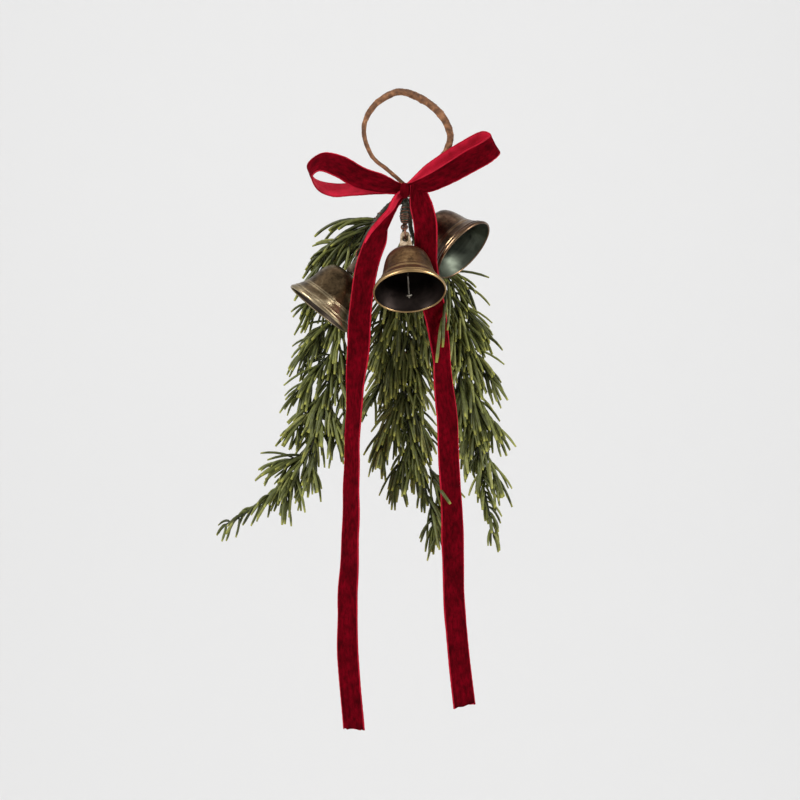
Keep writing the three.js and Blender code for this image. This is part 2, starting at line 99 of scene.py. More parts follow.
TAIL_LEFT = [
    (0.2, -7.2, -63.8, 1, 0.4, -0.9, 4.5), (-4.0, -8.4, -68.6, 0.9, 0.8, -0.7, 6.5),
    (-8.4, -10, -76.7, 0.8, 1.0, -0.5, 6.8),
    (-13.6, -13, -85.5, 0.9, 0.8, -0.4, 10), (-17.9, -16.5, -96.4, 1, -0.3, -0.2, 14.6),
    (-21.8, -21, -107.9, 1, -0.45, -0.1, 15), (-25.3, -24.2, -123.5, 1, -0.45, 0, RIBBON_WIDTH),
    (-27.8, -22.4, -146.9, 1, -0.3, 0, RIBBON_WIDTH), (-29.6, -14.5, -175.5, 1, -0.5, 0, RIBBON_WIDTH),
    (-31.9, -10, -204.8, 1, -1.3, 0, RIBBON_WIDTH), (-33.2, -10, -243.8, 1, -1.2, 0, RIBBON_WIDTH),
    (-34.1, -10, -282.8, 1, -0.9, 0, RIBBON_WIDTH), (-35.4, -10, -322, 1, -0.8, 0, RIBBON_WIDTH),
    (-35.6, -10, -360.8, 1, -0.5, 0, RIBBON_WIDTH), (-31.8, -10, -410.6, 1, -0.5, 0, RIBBON_WIDTH),
]
TAIL_RIGHT = [
    (8.4, -9.6, -58.4, 1, -0.1, 0.2, 7.5), (9.8, -10.0, -64.4, 1, -0.15, 0.2, 11.5),
    (11.7, -10.6, -72.5, 1, -0.2, 0.1, 14.8),
    (14.2, -13.2, -84, 1, -0.25, 0, RIBBON_WIDTH), (14.8, -12.9, -96, 1, -0.4, 0, RIBBON_WIDTH),
    (14.5, -11.2, -110, 1, -0.3, 0, RIBBON_WIDTH), (17.4, -10, -129, 1, 0.1, 0, RIBBON_WIDTH),
    (21.6, -8.2, -147, 1, 0.6, 0, RIBBON_WIDTH), (25, -8, -172.3, 1, 0.9, 0, RIBBON_WIDTH),
    (27.3, -8, -198.3, 1, 0.6, 0, RIBBON_WIDTH), (29.6, -8, -234, 1, 0.55, 0, RIBBON_WIDTH),
    (31.5, -8, -273, 1, 0.5, 0, RIBBON_WIDTH), (32.5, -8, -312, 1, 0.5, 0, RIBBON_WIDTH),
    (34.8, -8, -351, 1, 0.5, 0, RIBBON_WIDTH), (39.6, -8, -396, 1, 0.4, 0, RIBBON_WIDTH),
]

# ------------------------------------------------------------------ camera, backdrop and light

CAMERA_DISTANCE = 1.56
VIEW_CENTRE = Vector((-0.002, 0, -0.198))
VIEW_WIDTH = 0.52
BACKDROP_TONE = (0.755, 0.755, 0.755)


def set_camera():
    data = bpy.data.cameras.new("front_camera")
    data.sensor_width = 36
    data.lens = data.sensor_width * CAMERA_DISTANCE / VIEW_WIDTH
    data.clip_end = 20
    camera = bpy.data.objects.new("front_camera", data)
    bpy.context.scene.collection.objects.link(camera)
    camera.location = VIEW_CENTRE + Vector((0, -CAMERA_DISTANCE, 0))
    camera.rotation_euler = (math.pi / 2, 0, 0)
    bpy.context.scene.camera = camera


def set_backdrop():
    """A pale floor well below the ornament that curves up into a wall behind it."""
    half_width, front, back, floor, top, bend = 14.0, -14.0, 1.6, -1.1, 5.0, 0.8
    outline = [(front, floor)]
    for i in range(13):
        angle = -math.pi / 2 + i / 12 * math.pi / 2
        outline.append((back - bend + bend * math.cos(angle), floor + bend + bend * math.sin(angle)))
    outline.append((back, top))
    points = [(x, y, z) for y, z in outline for x in (-half_width, half_width)]
    faces = [(2 * i, 2 * i + 1, 2 * i + 3, 2 * i + 2) for i in range(len(outline) - 1)]
    mesh = bpy.data.meshes.new("backdrop")
    mesh.from_pydata(points, [], faces)
    mesh.shade_smooth()
    paper = Finish("pale_paper_backdrop").surface(Base_Color=BACKDROP_TONE, Roughness=0.9)
    mesh.materials.append(paper)
    obj = bpy.data.objects.new("backdrop", mesh)
    bpy.context.scene.collection.objects.link(obj)


def soft_lamp(name, place, size, watts, aim=VIEW_CENTRE):
    data = bpy.data.lights.new(name, "AREA")
    data.shape = "RECTANGLE"
    data.size, data.size_y = size
    data.energy = watts
    lamp = bpy.data.objects.new(name, data)
    bpy.context.scene.collection.objects.link(lamp)
    lamp.location = place
    lamp.rotation_euler = (aim - Vector(place)).to_track_quat("-Z", "Y").to_euler()


def set_lights():
    world = bpy.data.worlds.new("studio")
    world.use_nodes = True
    world.node_tree.nodes["Background"].inputs["Color"].default_value = (0.93, 0.925, 0.92, 1)
    world.node_tree.nodes["Background"].inputs["Strength"].default_value = 0.5
    bpy.context.scene.world = world
    bpy.context.scene.view_settings.view_transform = "Standard"
    soft_lamp("left_softbox", (-1.3, -0.9, 0.5), (0.55, 1.1), 30)
    soft_lamp("right_softbox", (1.4, -0.6, 0.3), (0.4, 1.1), 22)
    soft_lamp("backdrop_wash", (0, 0.2, 1.7), (2.4, 0.6), 6, Vector((0, 1.4, -0.3)))


# ------------------------------------------------------------------ node helpers

class Finish:
    """A new material with its Principled shader, and short ways to add and link nodes."""

    def __init__(self, name):
        self.material = bpy.data.materials.new(name)
        self.material.use_nodes = True
        self.nodes = self.material.node_tree.nodes
        self.link = self.material.node_tree.links.new
        self.shader = self.nodes["Principled BSDF"]

    def feed(self, socket, value):
        """Gives a socket a number, a colour or the value of another socket."""
        if isinstance(value, (int, float)):
            socket.default_value = value
        elif isinstance(value, tuple):
            socket.default_value = (*value, 1)
        elif value is not None:
            self.link(value, socket)

    def surface(self, **values):
        """Sets inputs of the shader by name; returns the material."""
        for name, value in values.items():
            self.feed(self.shader.inputs[name.replace("_", " ")], value)
        return self.material

    def node(self, kind, **settings):
        """A node with attributes and, by socket name, input values."""
        node = self.nodes.new(kind)
        for key, value in settings.items():
            if hasattr(node, key):
                setattr(node, key, value)
            else:
                node.inputs[key].default_value = value
        return node

    def uv(self):
        return self.node("ShaderNodeUVMap", uv_map="UVMap").outputs[0]

    def place(self):
        return self.node("ShaderNodeTexCoord").outputs["Object"]

    def attribute(self, name):
        return self.node("ShaderNodeAttribute", attribute_name=name).outputs["Fac"]

    def noise(self, scale, detail, vector=None, **settings):
        """Noise through the object's own space, or over the vector given."""
        node = self.node("ShaderNodeTexNoise", Scale=scale, Detail=detail, **settings)
        self.link(self.place() if vector is None else vector, node.inputs["Vector"])
        return node.outputs[0]

    def streaks(self, scale, detail, turn=0.0, **settings):
        """Noise drawn out over the UV map by a scale for each axis."""
        laid = self.node("ShaderNodeMapping", Scale=scale, Rotation=(0, 0, turn))
        self.link(self.uv(), laid.inputs["Vector"])
        return self.noise(1.0, detail, laid.outputs[0], **settings)

    def ramp(self, factor, *stops):
        node = self.node("ShaderNodeValToRGB")
        ramp = node.color_ramp
        while len(ramp.elements) < len(stops):
            ramp.elements.new(0.5)
        for element, (place, colour) in zip(ramp.elements, stops):
            element.position = place
            element.color = (*colour, 1)
        self.link(factor, node.inputs[0])
        return node.outputs[0]

    def math(self, operation, *values, clamp=False):
        node = self.node("ShaderNodeMath", operation=operation, use_clamp=clamp)
        for socket, value in zip(node.inputs, values):
            self.feed(socket, value)
        return node.outputs[0]

    def mix(self, factor, first, second, blend="MIX"):
        node = self.node("ShaderNodeMix", data_type="RGBA", blend_type=blend)
        for number, value in ((0, factor), (6, first), (7, second)):
            self.feed(node.inputs[number], value)
        return node.outputs[2]

    def bump(self, height, strength, distance):
        node = self.node("ShaderNodeBump", Strength=strength, Distance=distance)
        self.link(height, node.inputs["Height"])
        return node.outputs["Normal"]


def halfway(first, second):
    return tuple(0.5 * (a + b) for a, b in zip(first, second))


def grey(value):
    return (value, value, value)


# ------------------------------------------------------------------ mesh helpers

def smooth_path(points, count):
    """Points along a centripetal Catmull-Rom curve, with a fraction for each, as the CAD has it."""
    places = [Vector(p[:3]) for p in points]
    places = [2 * places[0] - places[1]] + places + [2 * places[-1] - places[-2]]
    result = []
    for i in range(count + 1):
        along = i / count * (len(points) - 1)
        k = min(int(along), len(points) - 2)
        t = along - k
        p0, p1, p2, p3 = places[k:k + 4]
        d0 = max((p1 - p0).length ** 0.5, 1e-4)
        d1 = max((p2 - p1).length ** 0.5, 1e-4)
        d2 = max((p3 - p2).length ** 0.5, 1e-4)
        m1 = ((p1 - p0) / d0 - (p2 - p0) / (d0 + d1) + (p2 - p1) / d1) * d1
        m2 = ((p2 - p1) / d1 - (p3 - p1) / (d1 + d2) + (p3 - p2) / d2) * d1
        a = 2 * p1 - 2 * p2 + m1 + m2
        b = -3 * p1 + 3 * p2 - 2 * m1 - m2
        result.append((((a * t + b) * t + m1) * t + p1, along))
    return result


def blend_stations(stations, along, column):
    """The value of a station column at a fractional station number."""
    k = min(int(along), len(stations) - 2)
    return stations[k][column] * (1 - along + k) + stations[k + 1][column] * (along - k)


def tangents(path):
    ends = [path[0]] + path + [path[-1]]
    return [(ends[i + 2] - ends[i]).normalized() for i in range(len(path))]


def make_piece(name, points, faces, materials, smooth=True, face_material=None):
    """A mesh object at the origin from points in metres."""
    mesh = bpy.data.meshes.new(name)
    mesh.from_pydata([tuple(p) for p in points], [], faces)
    for material in materials:
        mesh.materials.append(material)
    if face_material:
        for polygon, index in zip(mesh.polygons, face_material):
            polygon.material_index = index
    if smooth:
        mesh.shade_smooth()
    obj = bpy.data.objects.new(name, mesh)
    bpy.context.scene.collection.objects.link(obj)
    return obj


def bake_modifiers(obj):
    """Turns an object's evaluated shape into its plain mesh and removes its modifiers."""
    graph = bpy.context.evaluated_depsgraph_get()
    mesh = bpy.data.meshes.new_from_object(obj.evaluated_get(graph))
    old = obj.data
    obj.modifiers.clear()
    obj.data = mesh
    mesh.name = obj.name
    bpy.data.meshes.remove(old)


def ring_quads(rings, sides, closed=False):
    """Point numbers of the quads between rings of points; closed joins the last ring to the first."""
    for i in range(rings if closed else rings - 1):
        for j in range(sides):
            k, n = (i + 1) % rings, (j + 1) % sides
            yield i * sides + j, i * sides + n, k * sides + n, k * sides + j


def store_points(mesh, name, values):
    """Gives every point of a mesh a number under the name."""
    layer = mesh.attributes.new(name, "FLOAT", "POINT")
    for item, value in zip(layer.data, values):
        item.value = value


def tube_mesh(path, radii, sides, shape=None):
    """Points, faces and UVs of a closed round tube. shape(angle, run) scales the radius there."""
    turns = tangents(path)
    across = Vector((0, 1, 0)).cross(turns[0])
    if across.length < 0.1:
        across = Vector((1, 0, 0))
    across.normalize()
    points, uvs, lengths = [], [], []
    run = 0.0
    for i, (centre, turn) in enumerate(zip(path, turns)):
        if i:
            run += (centre - path[i - 1]).length
            across = turns[i - 1].rotation_difference(turn) @ across
        across = (across - turn * across.dot(turn)).normalized()
        depth = turn.cross(across)
        lengths.append(run)
        for j in range(sides):
            angle = 2 * math.pi * j / sides
            radius = radii[i] * (shape(angle, run) if shape else 1.0)
            points.append(centre + (across * math.cos(angle) + depth * math.sin(angle)) * radius)
    faces = list(ring_quads(len(path), sides))
    for i in range(len(path) - 1):
        for j in range(sides):
            uvs.append(((j / sides, lengths[i]), ((j + 1) / sides, lengths[i]),
                        ((j + 1) / sides, lengths[i + 1]), (j / sides, lengths[i + 1])))
    last = (len(path) - 1) * sides
    faces.append(tuple(range(sides - 1, -1, -1)))
    uvs.append(tuple((0.5, 0.0) for _ in range(sides)))
    faces.append(tuple(last + j for j in range(sides)))
    uvs.append(tuple((0.5, run) for _ in range(sides)))
    return points, faces, uvs


def set_uvs(obj, uvs):
    layer = obj.data.uv_layers.new(name="UVMap")
    flat = [corner for face in uvs for corner in face]
    for loop, value in zip(layer.data, flat):
        loop.uv = value


def tube_piece(name, path, radii, sides, material, shape=None):
    points, faces, uvs = tube_mesh(path, radii, sides, shape)
    obj = make_piece(name, points, faces, [material])
    set_uvs(obj, uvs)
    return obj


# ------------------------------------------------------------------ velvet ribbon

def velvet_finish():
    """Crimson pile: dark seen square on, lighter at a grazing angle, with a brushed mottle."""
    finish = Finish("crimson_velvet_pile")
    pile = finish.noise(4200.0, 2.0)
    shade = finish.ramp(finish.streaks((7, 190, 1), 4.0, Roughness=0.6),
                        (0.3, (0.040, 0.0002, 0.0016)), (0.7, (0.150, 0.0004, 0.0056)))
    speck = finish.ramp(pile, (0.35, grey(0.78)), (0.7, grey(1.18)))
    depth = finish.ramp(finish.streaks((1.3, 48, 1), 2.0), (0.34, grey(0.62)), (0.62, grey(1.12)))
    piled = finish.mix(1.0, shade, speck, "MULTIPLY")
    return finish.surface(Base_Color=finish.mix(1.0, piled, depth, "MULTIPLY"), Roughness=0.95,
                          Specular_IOR_Level=0.03, Sheen_Weight=0.30, Sheen_Roughness=0.35,
                          Sheen_Tint=(1.0, 0.01, 0.06), Normal=finish.bump(pile, 0.35, 0.0003))


def woven_back_finish(name, low, high, ribs=1500.0):
    """The flat woven back and the selvedges of the ribbon: fine ribs across its length."""
    finish = Finish(name)
    split = finish.node("ShaderNodeSeparateXYZ")
    finish.link(finish.uv(), split.inputs[0])
    weft = finish.math("SINE", finish.math("MULTIPLY", split.outputs[1], ribs * 6.283))
    warp = finish.math("SINE", finish.math("MULTIPLY", split.outputs[0], 230.0))
    weave = finish.math("MULTIPLY_ADD", finish.math("MULTIPLY", weft, warp), 0.5, 0.5)
    blend = finish.math("MULTIPLY_ADD", weave, 0.4, finish.noise(180.0, 3.0))
    return finish.surface(Base_Color=finish.ramp(blend, (0.35, low), (0.95, high)), Roughness=0.62,
                          Specular_IOR_Level=0.12, Sheen_Weight=0.12, Sheen_Tint=(1.0, 0.05, 0.12),
                          Normal=finish.bump(weave, 0.3, 0.0002))


SELVEDGE = 0.042          # share of the width that is woven edge, on each side
PICOT_PITCH = 1.7         # millimetres between the small loops along the edge
TURN_COLUMN = 7           # the column that follows the border of the turned part
TURN_RECOVERY = 14        # rows over which the columns go back to their own places
FRAY = 1.1                # millimetres by which the cut end's threads differ


def ribbon_rows(stations, rows, wave, seed):
    """Centre, width direction, face direction, width and run of the ribbon at each row, in millimetres."""
    path = smooth_path(stations, rows)
    turns = tangents([p for p, _ in path])
    result = []
    run = 0.0
    for i, ((centre, along), turn) in enumerate(zip(path, turns)):
        if i:
            run += (centre - path[i - 1][0]).length
        k = min(int(along), len(stations) - 2)
        first = Vector(stations[k][3:6]).normalized()
        second = Vector(stations[k + 1][3:6]).normalized()
        across = first.lerp(second, along - k)
        across = (across - turn * across.dot(turn)).normalized()
        face = turn.cross(across)
        width = blend_stations(stations, along, 6)
        fade = min(1.0, 4 * i / rows, 4 * (rows - i) / rows)
        sway = noise.noise(Vector((run * 0.035, seed, 0))) * wave * fade
        twist = noise.noise(Vector((run * 0.028, seed + 7, 3))) * wave * 0.13 * fade
        across = (across + face * twist).normalized()
        result.append((centre + face * sway, across, turn.cross(across), width, run))
    return result


def ribbon_sheet(name, stations, length, velvet_out, wave, seed, cut_slant=0.0, turned_edge=0.0):
    """A velvet ribbon as a sheet with pile on one side, woven edges, and folds where it is gathered."""
    rows = int(length / 1.1)
    columns = [0, 0.02, SELVEDGE, 0.1, 0.2, 0.32, 0.44, 0.56, 0.68, 0.8, 0.9, 1 - SELVEDGE, 0.98, 1]
    lines = ribbon_rows(stations, rows, wave, seed)
    half = RIBBON_THICKNESS / 2
    points, faces, uvs, kinds = [], [], [], []
    layers = ((half, velvet_out), (-half, not velvet_out))
    count = len(columns)
    turned_rows = int(turned_edge * rows)
    middle = columns[TURN_COLUMN]

    def spread(i):
        """The columns across row i; one of them follows the border of the part that shows its back."""
        if i >= turned_rows + TURN_RECOVERY or not turned_rows:
            return columns
        if i < turned_rows:
            border = 0.1 + 0.84 * (1 - i / turned_rows) ** 1.15
        else:
            border = 0.1 + (middle - 0.1) * (i - turned_rows) / TURN_RECOVERY
        edges = (columns[2], border, columns[-3])
        knees = (columns[2], middle, columns[-3])
        result = list(columns)
        for j in range(3, count - 3):
            side = 0 if columns[j] <= middle else 1
            share = (columns[j] - knees[side]) / (knees[side + 1] - knees[side])
            result[j] = edges[side] + share * (edges[side + 1] - edges[side])
        return result

    spreads = [spread(i) for i in range(rows + 1)]
    for offset, _ in layers:
        for i, (centre, across, face, width, run) in enumerate(lines):
            turn = across.cross(face)
            gather = 1 - width / RIBBON_WIDTH
            for j, u in enumerate(spreads[i]):
                side = 2 * u - 1
                picot = 0.0
                if j in (0, count - 1):
                    picot = 0.16 * math.sin(2 * math.pi * run / PICOT_PITCH + j)
                fold = gather * 1.3 * math.cos(side * 7.5 + seed) * (1 - 0.5 * abs(side))
                cup = 0.35 * (side * side - 0.3) * math.sin(run * 0.05 + seed)
                edge_thin = 0.55 if abs(side) > 1 - 2 * SELVEDGE + 0.01 else 1.0
                rough = noise.noise(Vector((run * 0.45, u * 9, seed))) * 0.10
                lift = fold + cup + rough + offset * edge_thin
                slide = cut_slant * side * max(0.0, (i / rows - 0.9) * 10)
                if i == rows:
                    slide += FRAY * noise.noise(Vector((u * 23, seed, offset)))
                points.append((centre + across * (side * width / 2 + math.copysign(picot, side))
                               + face * lift + turn * slide) * MM)
    layer_size = (rows + 1) * count

    def corner(layer, i, j):
        return layer * layer_size + i * count + j

    def add(ring, corners, kind):
        faces.append(ring)
        uvs.append(corners)
        kinds.append(kind)

    for layer, (_, pile) in enumerate(layers):
        for i in range(rows):
            for j in range(count - 1):
                ring = [(i, j), (i, j + 1), (i + 1, j + 1), (i + 1, j)]
                if layer == 0:
                    ring.reverse()
                is_edge = j < 2 or j > count - 4
                turned = i < turned_rows and j < TURN_COLUMN
                add(tuple(corner(layer, *c) for c in ring),
                    tuple((spreads[c[0]][c[1]], lines[c[0]][4] * MM) for c in ring),
                    2 if is_edge else (0 if pile and not turned else 1))
    for i in range(rows):
        for j, flip in ((0, False), (count - 1, True)):
            ring = [(0, i, j), (0, i + 1, j), (1, i + 1, j), (1, i, j)]
            if flip:
                ring.reverse()
            add(tuple(corner(*c) for c in ring),
                tuple((columns[j], lines[c[1]][4] * MM) for c in ring), 2)
    for i, flip in ((0, True), (rows, False)):
        for j in range(count - 1):
            ring = [(0, i, j), (1, i, j), (1, i, j + 1), (0, i, j + 1)]
            if flip:
                ring.reverse()
            add(tuple(corner(*c) for c in ring),
                tuple((columns[c[2]], lines[i][4] * MM) for c in ring), 1)
    obj = make_piece(name, points, faces, [VELVET, RIBBON_BACK, RIBBON_EDGE], face_material=kinds)
    set_uvs(obj, uvs)
    return obj


def outward(obj):
    """Turns every face of a closed mesh outwards."""
    work = bmesh.new()
    work.from_mesh(obj.data)
    bmesh.ops.recalc_face_normals(work, faces=work.faces)
    work.to_mesh(obj.data)
    work.free()


def path_length(stations):
    path = [p for p, _ in smooth_path(stations, 400)]
    return sum((b - a).length for a, b in zip(path, path[1:]))


def make_bow():
    parts = (
        ("bow_loop_left", LOOP_LEFT, 0.5, 3, False, "stretched", 0.0, 0.0),
        ("bow_loop_right", LOOP_RIGHT, 0.5, 11, True, "stretched", 0.0, 0.0),
        ("ribbon_tail_left", TAIL_LEFT, 1.8, 5, True, "hung", 0.6, 0.3),
        ("ribbon_tail_right", TAIL_RIGHT, 1.8, 9, True, "hung", -0.4, 0.0),
    )
    for node, stations, wave, seed, velvet_out, held, slant, turned in parts:
        length = path_length(stations)
        obj = ribbon_sheet(f"velvet_{node}", stations, length, velvet_out, wave, seed, slant, turned)
        outward(obj)
        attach(obj, "root")
        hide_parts(node)
    make_knot()


KNOT_PINCH = 0.66         # the visible turn is narrower than the room it takes


def make_knot():
    """The knot: one turn of gathered ribbon drawn round the crossing, with soft pleats."""
    low, high = (Vector(c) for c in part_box("bow_knot"))
    centre = (low + high) / 2
    size = (high - low) / 2
    size.x *= KNOT_PINCH
    rings, sides = 40, 56
    points, faces, uvs = [], [], []
    for i in range(rings + 1):
        v = i / rings
        polar = math.pi * (0.02 + 0.96 * v)
        for j in range(sides):
            angle = 2 * math.pi * j / sides
            squareness = 1 + 0.10 * math.cos(4 * angle)
            pleat = 0.055 * math.sin(5 * angle + 2.5 * math.sin(3 * v)) + 0.03 * math.sin(9 * angle + 4 * v)
            lump = 0.06 * noise.noise(Vector((math.cos(angle) * 2, math.sin(angle) * 2, v * 4)))
            bulge = math.sin(polar) ** 0.55 * squareness * (1 + pleat + lump)
            points.append(centre + Vector((size.x * bulge * math.cos(angle),
                                           size.y * bulge * math.sin(angle),
                                           size.z * math.cos(polar))))
    for i in range(rings):
        for j in range(sides):
            a, b = i * sides + j, i * sides + (j + 1) % sides
            faces.append((a, a + sides, b + sides, b))
            uvs.append(tuple((x / sides, y / rings * 0.01)
                             for x, y in ((j, i), (j, i + 1), (j + 1, i + 1), (j + 1, i))))
    faces.append(tuple(range(sides)))
    uvs.append(tuple((0.5, 0.0) for _ in range(sides)))
    faces.append(tuple(rings * sides + j for j in reversed(range(sides))))
    uvs.append(tuple((0.5, 0.0) for _ in range(sides)))
    obj = make_piece("velvet_knot", points, faces, [VELVET])
    set_uvs(obj, uvs)
    outward(obj)
    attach(obj, "root")
    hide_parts("bow_knot")


# ------------------------------------------------------------------ hanger

def kraft_finish():
    """Brown crepe paper tape: long creases that follow the winding, with painted shade in the crease valleys
    and painted light on the ridges.
    """
    finish = Finish("kraft_paper_tape")
    crease = finish.streaks((2.5, 170, 1), 5.0, 0.006, Roughness=0.65)
    patch = finish.noise(95.0, 4.0, Distortion=1.2)
    fibre = finish.noise(1900.0, 3.0)
    # The crease noise is also the bump height: its ramp paints shade into the valleys and light onto the
    # ridges, and random patches blend it towards a middle brown.
    base = finish.ramp(finish.math("MULTIPLY_ADD", crease, 1.5, -0.25), (0.3, (0.045, 0.018, 0.008)),
                       (0.52, (0.18, 0.075, 0.028)), (0.72, (0.42, 0.20, 0.09)))
    wear_and_painted_light = finish.mix(finish.math("MULTIPLY", patch, 0.35), base, (0.23, 0.098, 0.042))
    height = finish.math("ADD", crease, finish.math("MULTIPLY", fibre, 0.3))
    return finish.surface(Base_Color=wear_and_painted_light, Roughness=0.82, Normal=finish.bump(height, 1.0, 0.0016))


WRAP_PITCH = 7.5          # millimetres of wire covered by each turn of the paper tape


def make_hanger():
    steps = 620
    path = smooth_path(HANGER_PATH, steps)
    radii = [blend_stations(HANGER_PATH, along, 3) * MM for _, along in path]

    def wrapped(angle, run):
        turn = (run / MM / WRAP_PITCH + angle / (2 * math.pi)) % 1.0
        lap = 0.05 * (1 - turn) ** 3
        crumple = 0.17 * noise.noise(Vector((math.cos(angle) * 1.3, math.sin(angle) * 1.3, run * 260)))
        fine = 0.08 * noise.noise(Vector((math.cos(angle) * 4, math.sin(angle) * 4, run * 900)))
        crease = 0.09 * abs(noise.noise(Vector((angle * 0.9, run * 700 - angle * 0.8, 4))))
        return 0.97 + lap + crumple + fine + crease

    obj = tube_piece("paper_wrapped_hanger", [p * MM for p, _ in path], radii, 28, KRAFT, wrapped)
    outward(obj)
    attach(obj, "root")
    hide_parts("hanger_wrap", "hanger_core_wire")


# ------------------------------------------------------------------ bells

CLAPPER_PIVOT_H = 24.4    # heights above the mouth, millimetres
LUG_HOLE_H = 41.0
HOOK_EYE_H = 25.9
CLAPPER_EYE, CLAPPER_EYE_WIRE = 1.5, 0.42     # radii of the small eyes that carry a clapper
BANDS_SPAN = 40           # millimetres of height over which the bands of rubbed metal and painted highlight are laid out

BELL_OUTER = [(22.75, 0.0), (23.15, 0.15), (23.42, 0.6), (23.48, 1.3), (23.25, 2.1), (22.7, 2.8), (22.1, 3.3),
              (21.95, 3.55), (22.02, 3.9), (21.9, 4.3), (21.45, 4.6), (20.9, 5.3), (20.2, 6.4), (19.3, 7.9),
              (18.55, 9.0), (18.42, 9.3), (18.48, 9.6), (18.28, 9.9), (18.0, 10.15), (18.06, 10.45),
              (17.86, 10.8), (17.5, 11.2), (17.05, 12.6), (16.5, 14.6), (15.95, 17.2), (15.3, 20.3),
              (14.6, 23.0), (13.7, 25.4), (12.6, 27.4), (11.3, 28.9), (9.7, 29.9), (7.6, 30.5), (5.0, 30.85),
              (2.2, 31.0)]
BELL_INNER = [(2.2, 30.0), (5.6, 29.75), (8.4, 29.1), (10.2, 28.0), (11.6, 26.2), (13.0, 23.3), (14.2, 20.0),
              (15.0, 16.6), (15.8, 13.3), (16.6, 10.9), (17.8, 8.6), (19.4, 6.0), (20.9, 3.8), (21.8, 2.0),
              (22.2, 0.7), (22.45, 0.1)]


def joint(name):
    return next(j for j in frame["joints"] if j["name"] == name)


def bell_frame(side):
    """The centre of the mouth and the up, bore and side directions of a bell, from its joints."""
    sway = joint(f"bell_sway_{side}")
    low = Vector(joint(f"clapper_swing_{side}")["pos_m"])
    up = (Vector(sway["pos_m"]) - low).normalized()
    bore = -Vector(sway["axis"]).normalized()
    return low - up * CLAPPER_PIVOT_H * MM, up, bore, bore.cross(up)


def seen_from_bell(side, point):
    """Where the point lies for the bell at rest, with its ring swung and with the bell swayed."""
    yield point
    for name in (f"ring_swing_{side}", f"bell_sway_{side}"):
        motion = joint(name)
        pivot = Vector(motion["pos_m"])
        back = Matrix.Rotation(-math.radians(motion["range_deg"][1]), 3, Vector(motion["axis"]))
        yield pivot + back @ (point - pivot)


def near_bell(side, point):
    """True within a small margin of the shell or its lug, at rest or at the end of a swing."""
    return any(touches_bell(side, place) for place in seen_from_bell(side, point))


def touches_bell(side, point):
    mouth, up, _, _ = BELL_FRAMES[side]
    offset = (point - mouth) / MM
    height = offset.dot(up)
    reach = (offset - up * height).length
    if height < -2 or height > 50:
        return False
    if height > 31:
        return reach < 6
    wall = min((abs(h - height), r) for r, h in BELL_OUTER)[1]
    return reach < wall + 1.6


def brass_finish(name, dark, brown, gold, rough, lip):
    """Antiqued brass: brown patina broken by rubbed patches, with a bright lip, bead and ridges that are
    partly rubbed metal and partly painted highlight.
    """
    finish = Finish(name)
    patch = finish.noise(48.0, 4.0, Roughness=0.5, Distortion=0.8)
    fine = finish.noise(520.0, 4.0, Roughness=0.7)
    lines = finish.math("MULTIPLY_ADD", finish.streaks((1.2, 260, 1), 4.0), 0.25, -0.35)
    blend = finish.math("ADD", patch, finish.math("MULTIPLY_ADD", fine, 0.45, lines))
    patina = finish.ramp(blend, (0.30, dark), (0.5, brown), (0.66, halfway(brown, gold)), (0.84, gold))
    # Bright bands at the lip edge, on the bead and along the two ridges by height: partly rubbed metal,
    # partly painted highlight.
    bands = ((0.0, lip), (0.05, 0.6 * lip), (0.085, 0.3 * lip), (0.11, lip), (0.13, 0.12), (0.2, 0.0),
             (0.232, 0.5), (0.245, 0.05), (0.262, 0.5), (0.28, 0.0))
    rubbed_and_painted_highlight = finish.ramp(finish.math("MULTIPLY", finish.attribute("bell_height"), 1 / BANDS_SPAN),
                         *((place, grey(value)) for place, value in bands))
    wear_and_painted_light = finish.math("MULTIPLY", rubbed_and_painted_highlight, finish.math("MULTIPLY_ADD", patch, 1.3, 0.15), clamp=True)
    bright = tuple(min(1.0, 1.45 * c) for c in gold)
    return finish.surface(
        Base_Color=finish.mix(wear_and_painted_light, patina, bright), Metallic=1.0,
        Roughness=finish.ramp(blend, (0.3, grey(rough + 0.14)), (0.75, grey(rough - 0.06))),
        Normal=finish.bump(blend, 0.10, 0.0005))


def inside_finish(name, dark, light, rough):
    """The spun inside of a bell: tarnish with faint turning lines."""
    finish = Finish(name)
    cloud = finish.noise(75.0, 5.0, Distortion=0.8)
    blend = finish.math("MULTIPLY_ADD", finish.streaks((2, 420, 1), 3.0), 0.3, cloud)
    shade = finish.ramp(blend, (0.42, dark), (0.62, halfway(dark, light)), (0.85, light))
    return finish.surface(Base_Color=shade, Metallic=1.0, Roughness=rough,
                          Normal=finish.bump(blend, 0.12, 0.0004))


def cast_finish(name, tone):
    """The rough cream-brown casting of a lug; tone scales its lightness."""
    finish = Finish(name)
    cloud = finish.noise(260.0, 6.0, Roughness=0.65)
    pits = finish.node("ShaderNodeTexVoronoi", Scale=900.0)
    finish.link(finish.place(), pits.inputs["Vector"])
    stops = ((0.32, (0.075, 0.042, 0.020)), (0.46, (0.27, 0.19, 0.11)), (0.6, (0.50, 0.40, 0.28)),
             (0.75, (0.62, 0.54, 0.42)))
    shade = finish.ramp(cloud, *((place, tuple(tone * c for c in colour)) for place, colour in stops))
    pitted = finish.ramp(pits.outputs["Distance"], (0.0, grey(0.45)), (0.25, grey(1.0)))
    return finish.surface(Base_Color=finish.mix(0.6, shade, pitted, "MULTIPLY"), Roughness=0.7,
                          Metallic=0.15, Normal=finish.bump(cloud, 0.5, 0.0006))


def metal_finish(name, dark, light, rough):
    """Small bare metal parts with tarnish in patches."""
    finish = Finish(name)
    cloud = finish.noise(700.0, 4.0)
    return finish.surface(Base_Color=finish.ramp(cloud, (0.35, dark), (0.68, light)), Metallic=1.0,
                          Roughness=rough, Normal=finish.bump(cloud, 0.2, 0.0003))


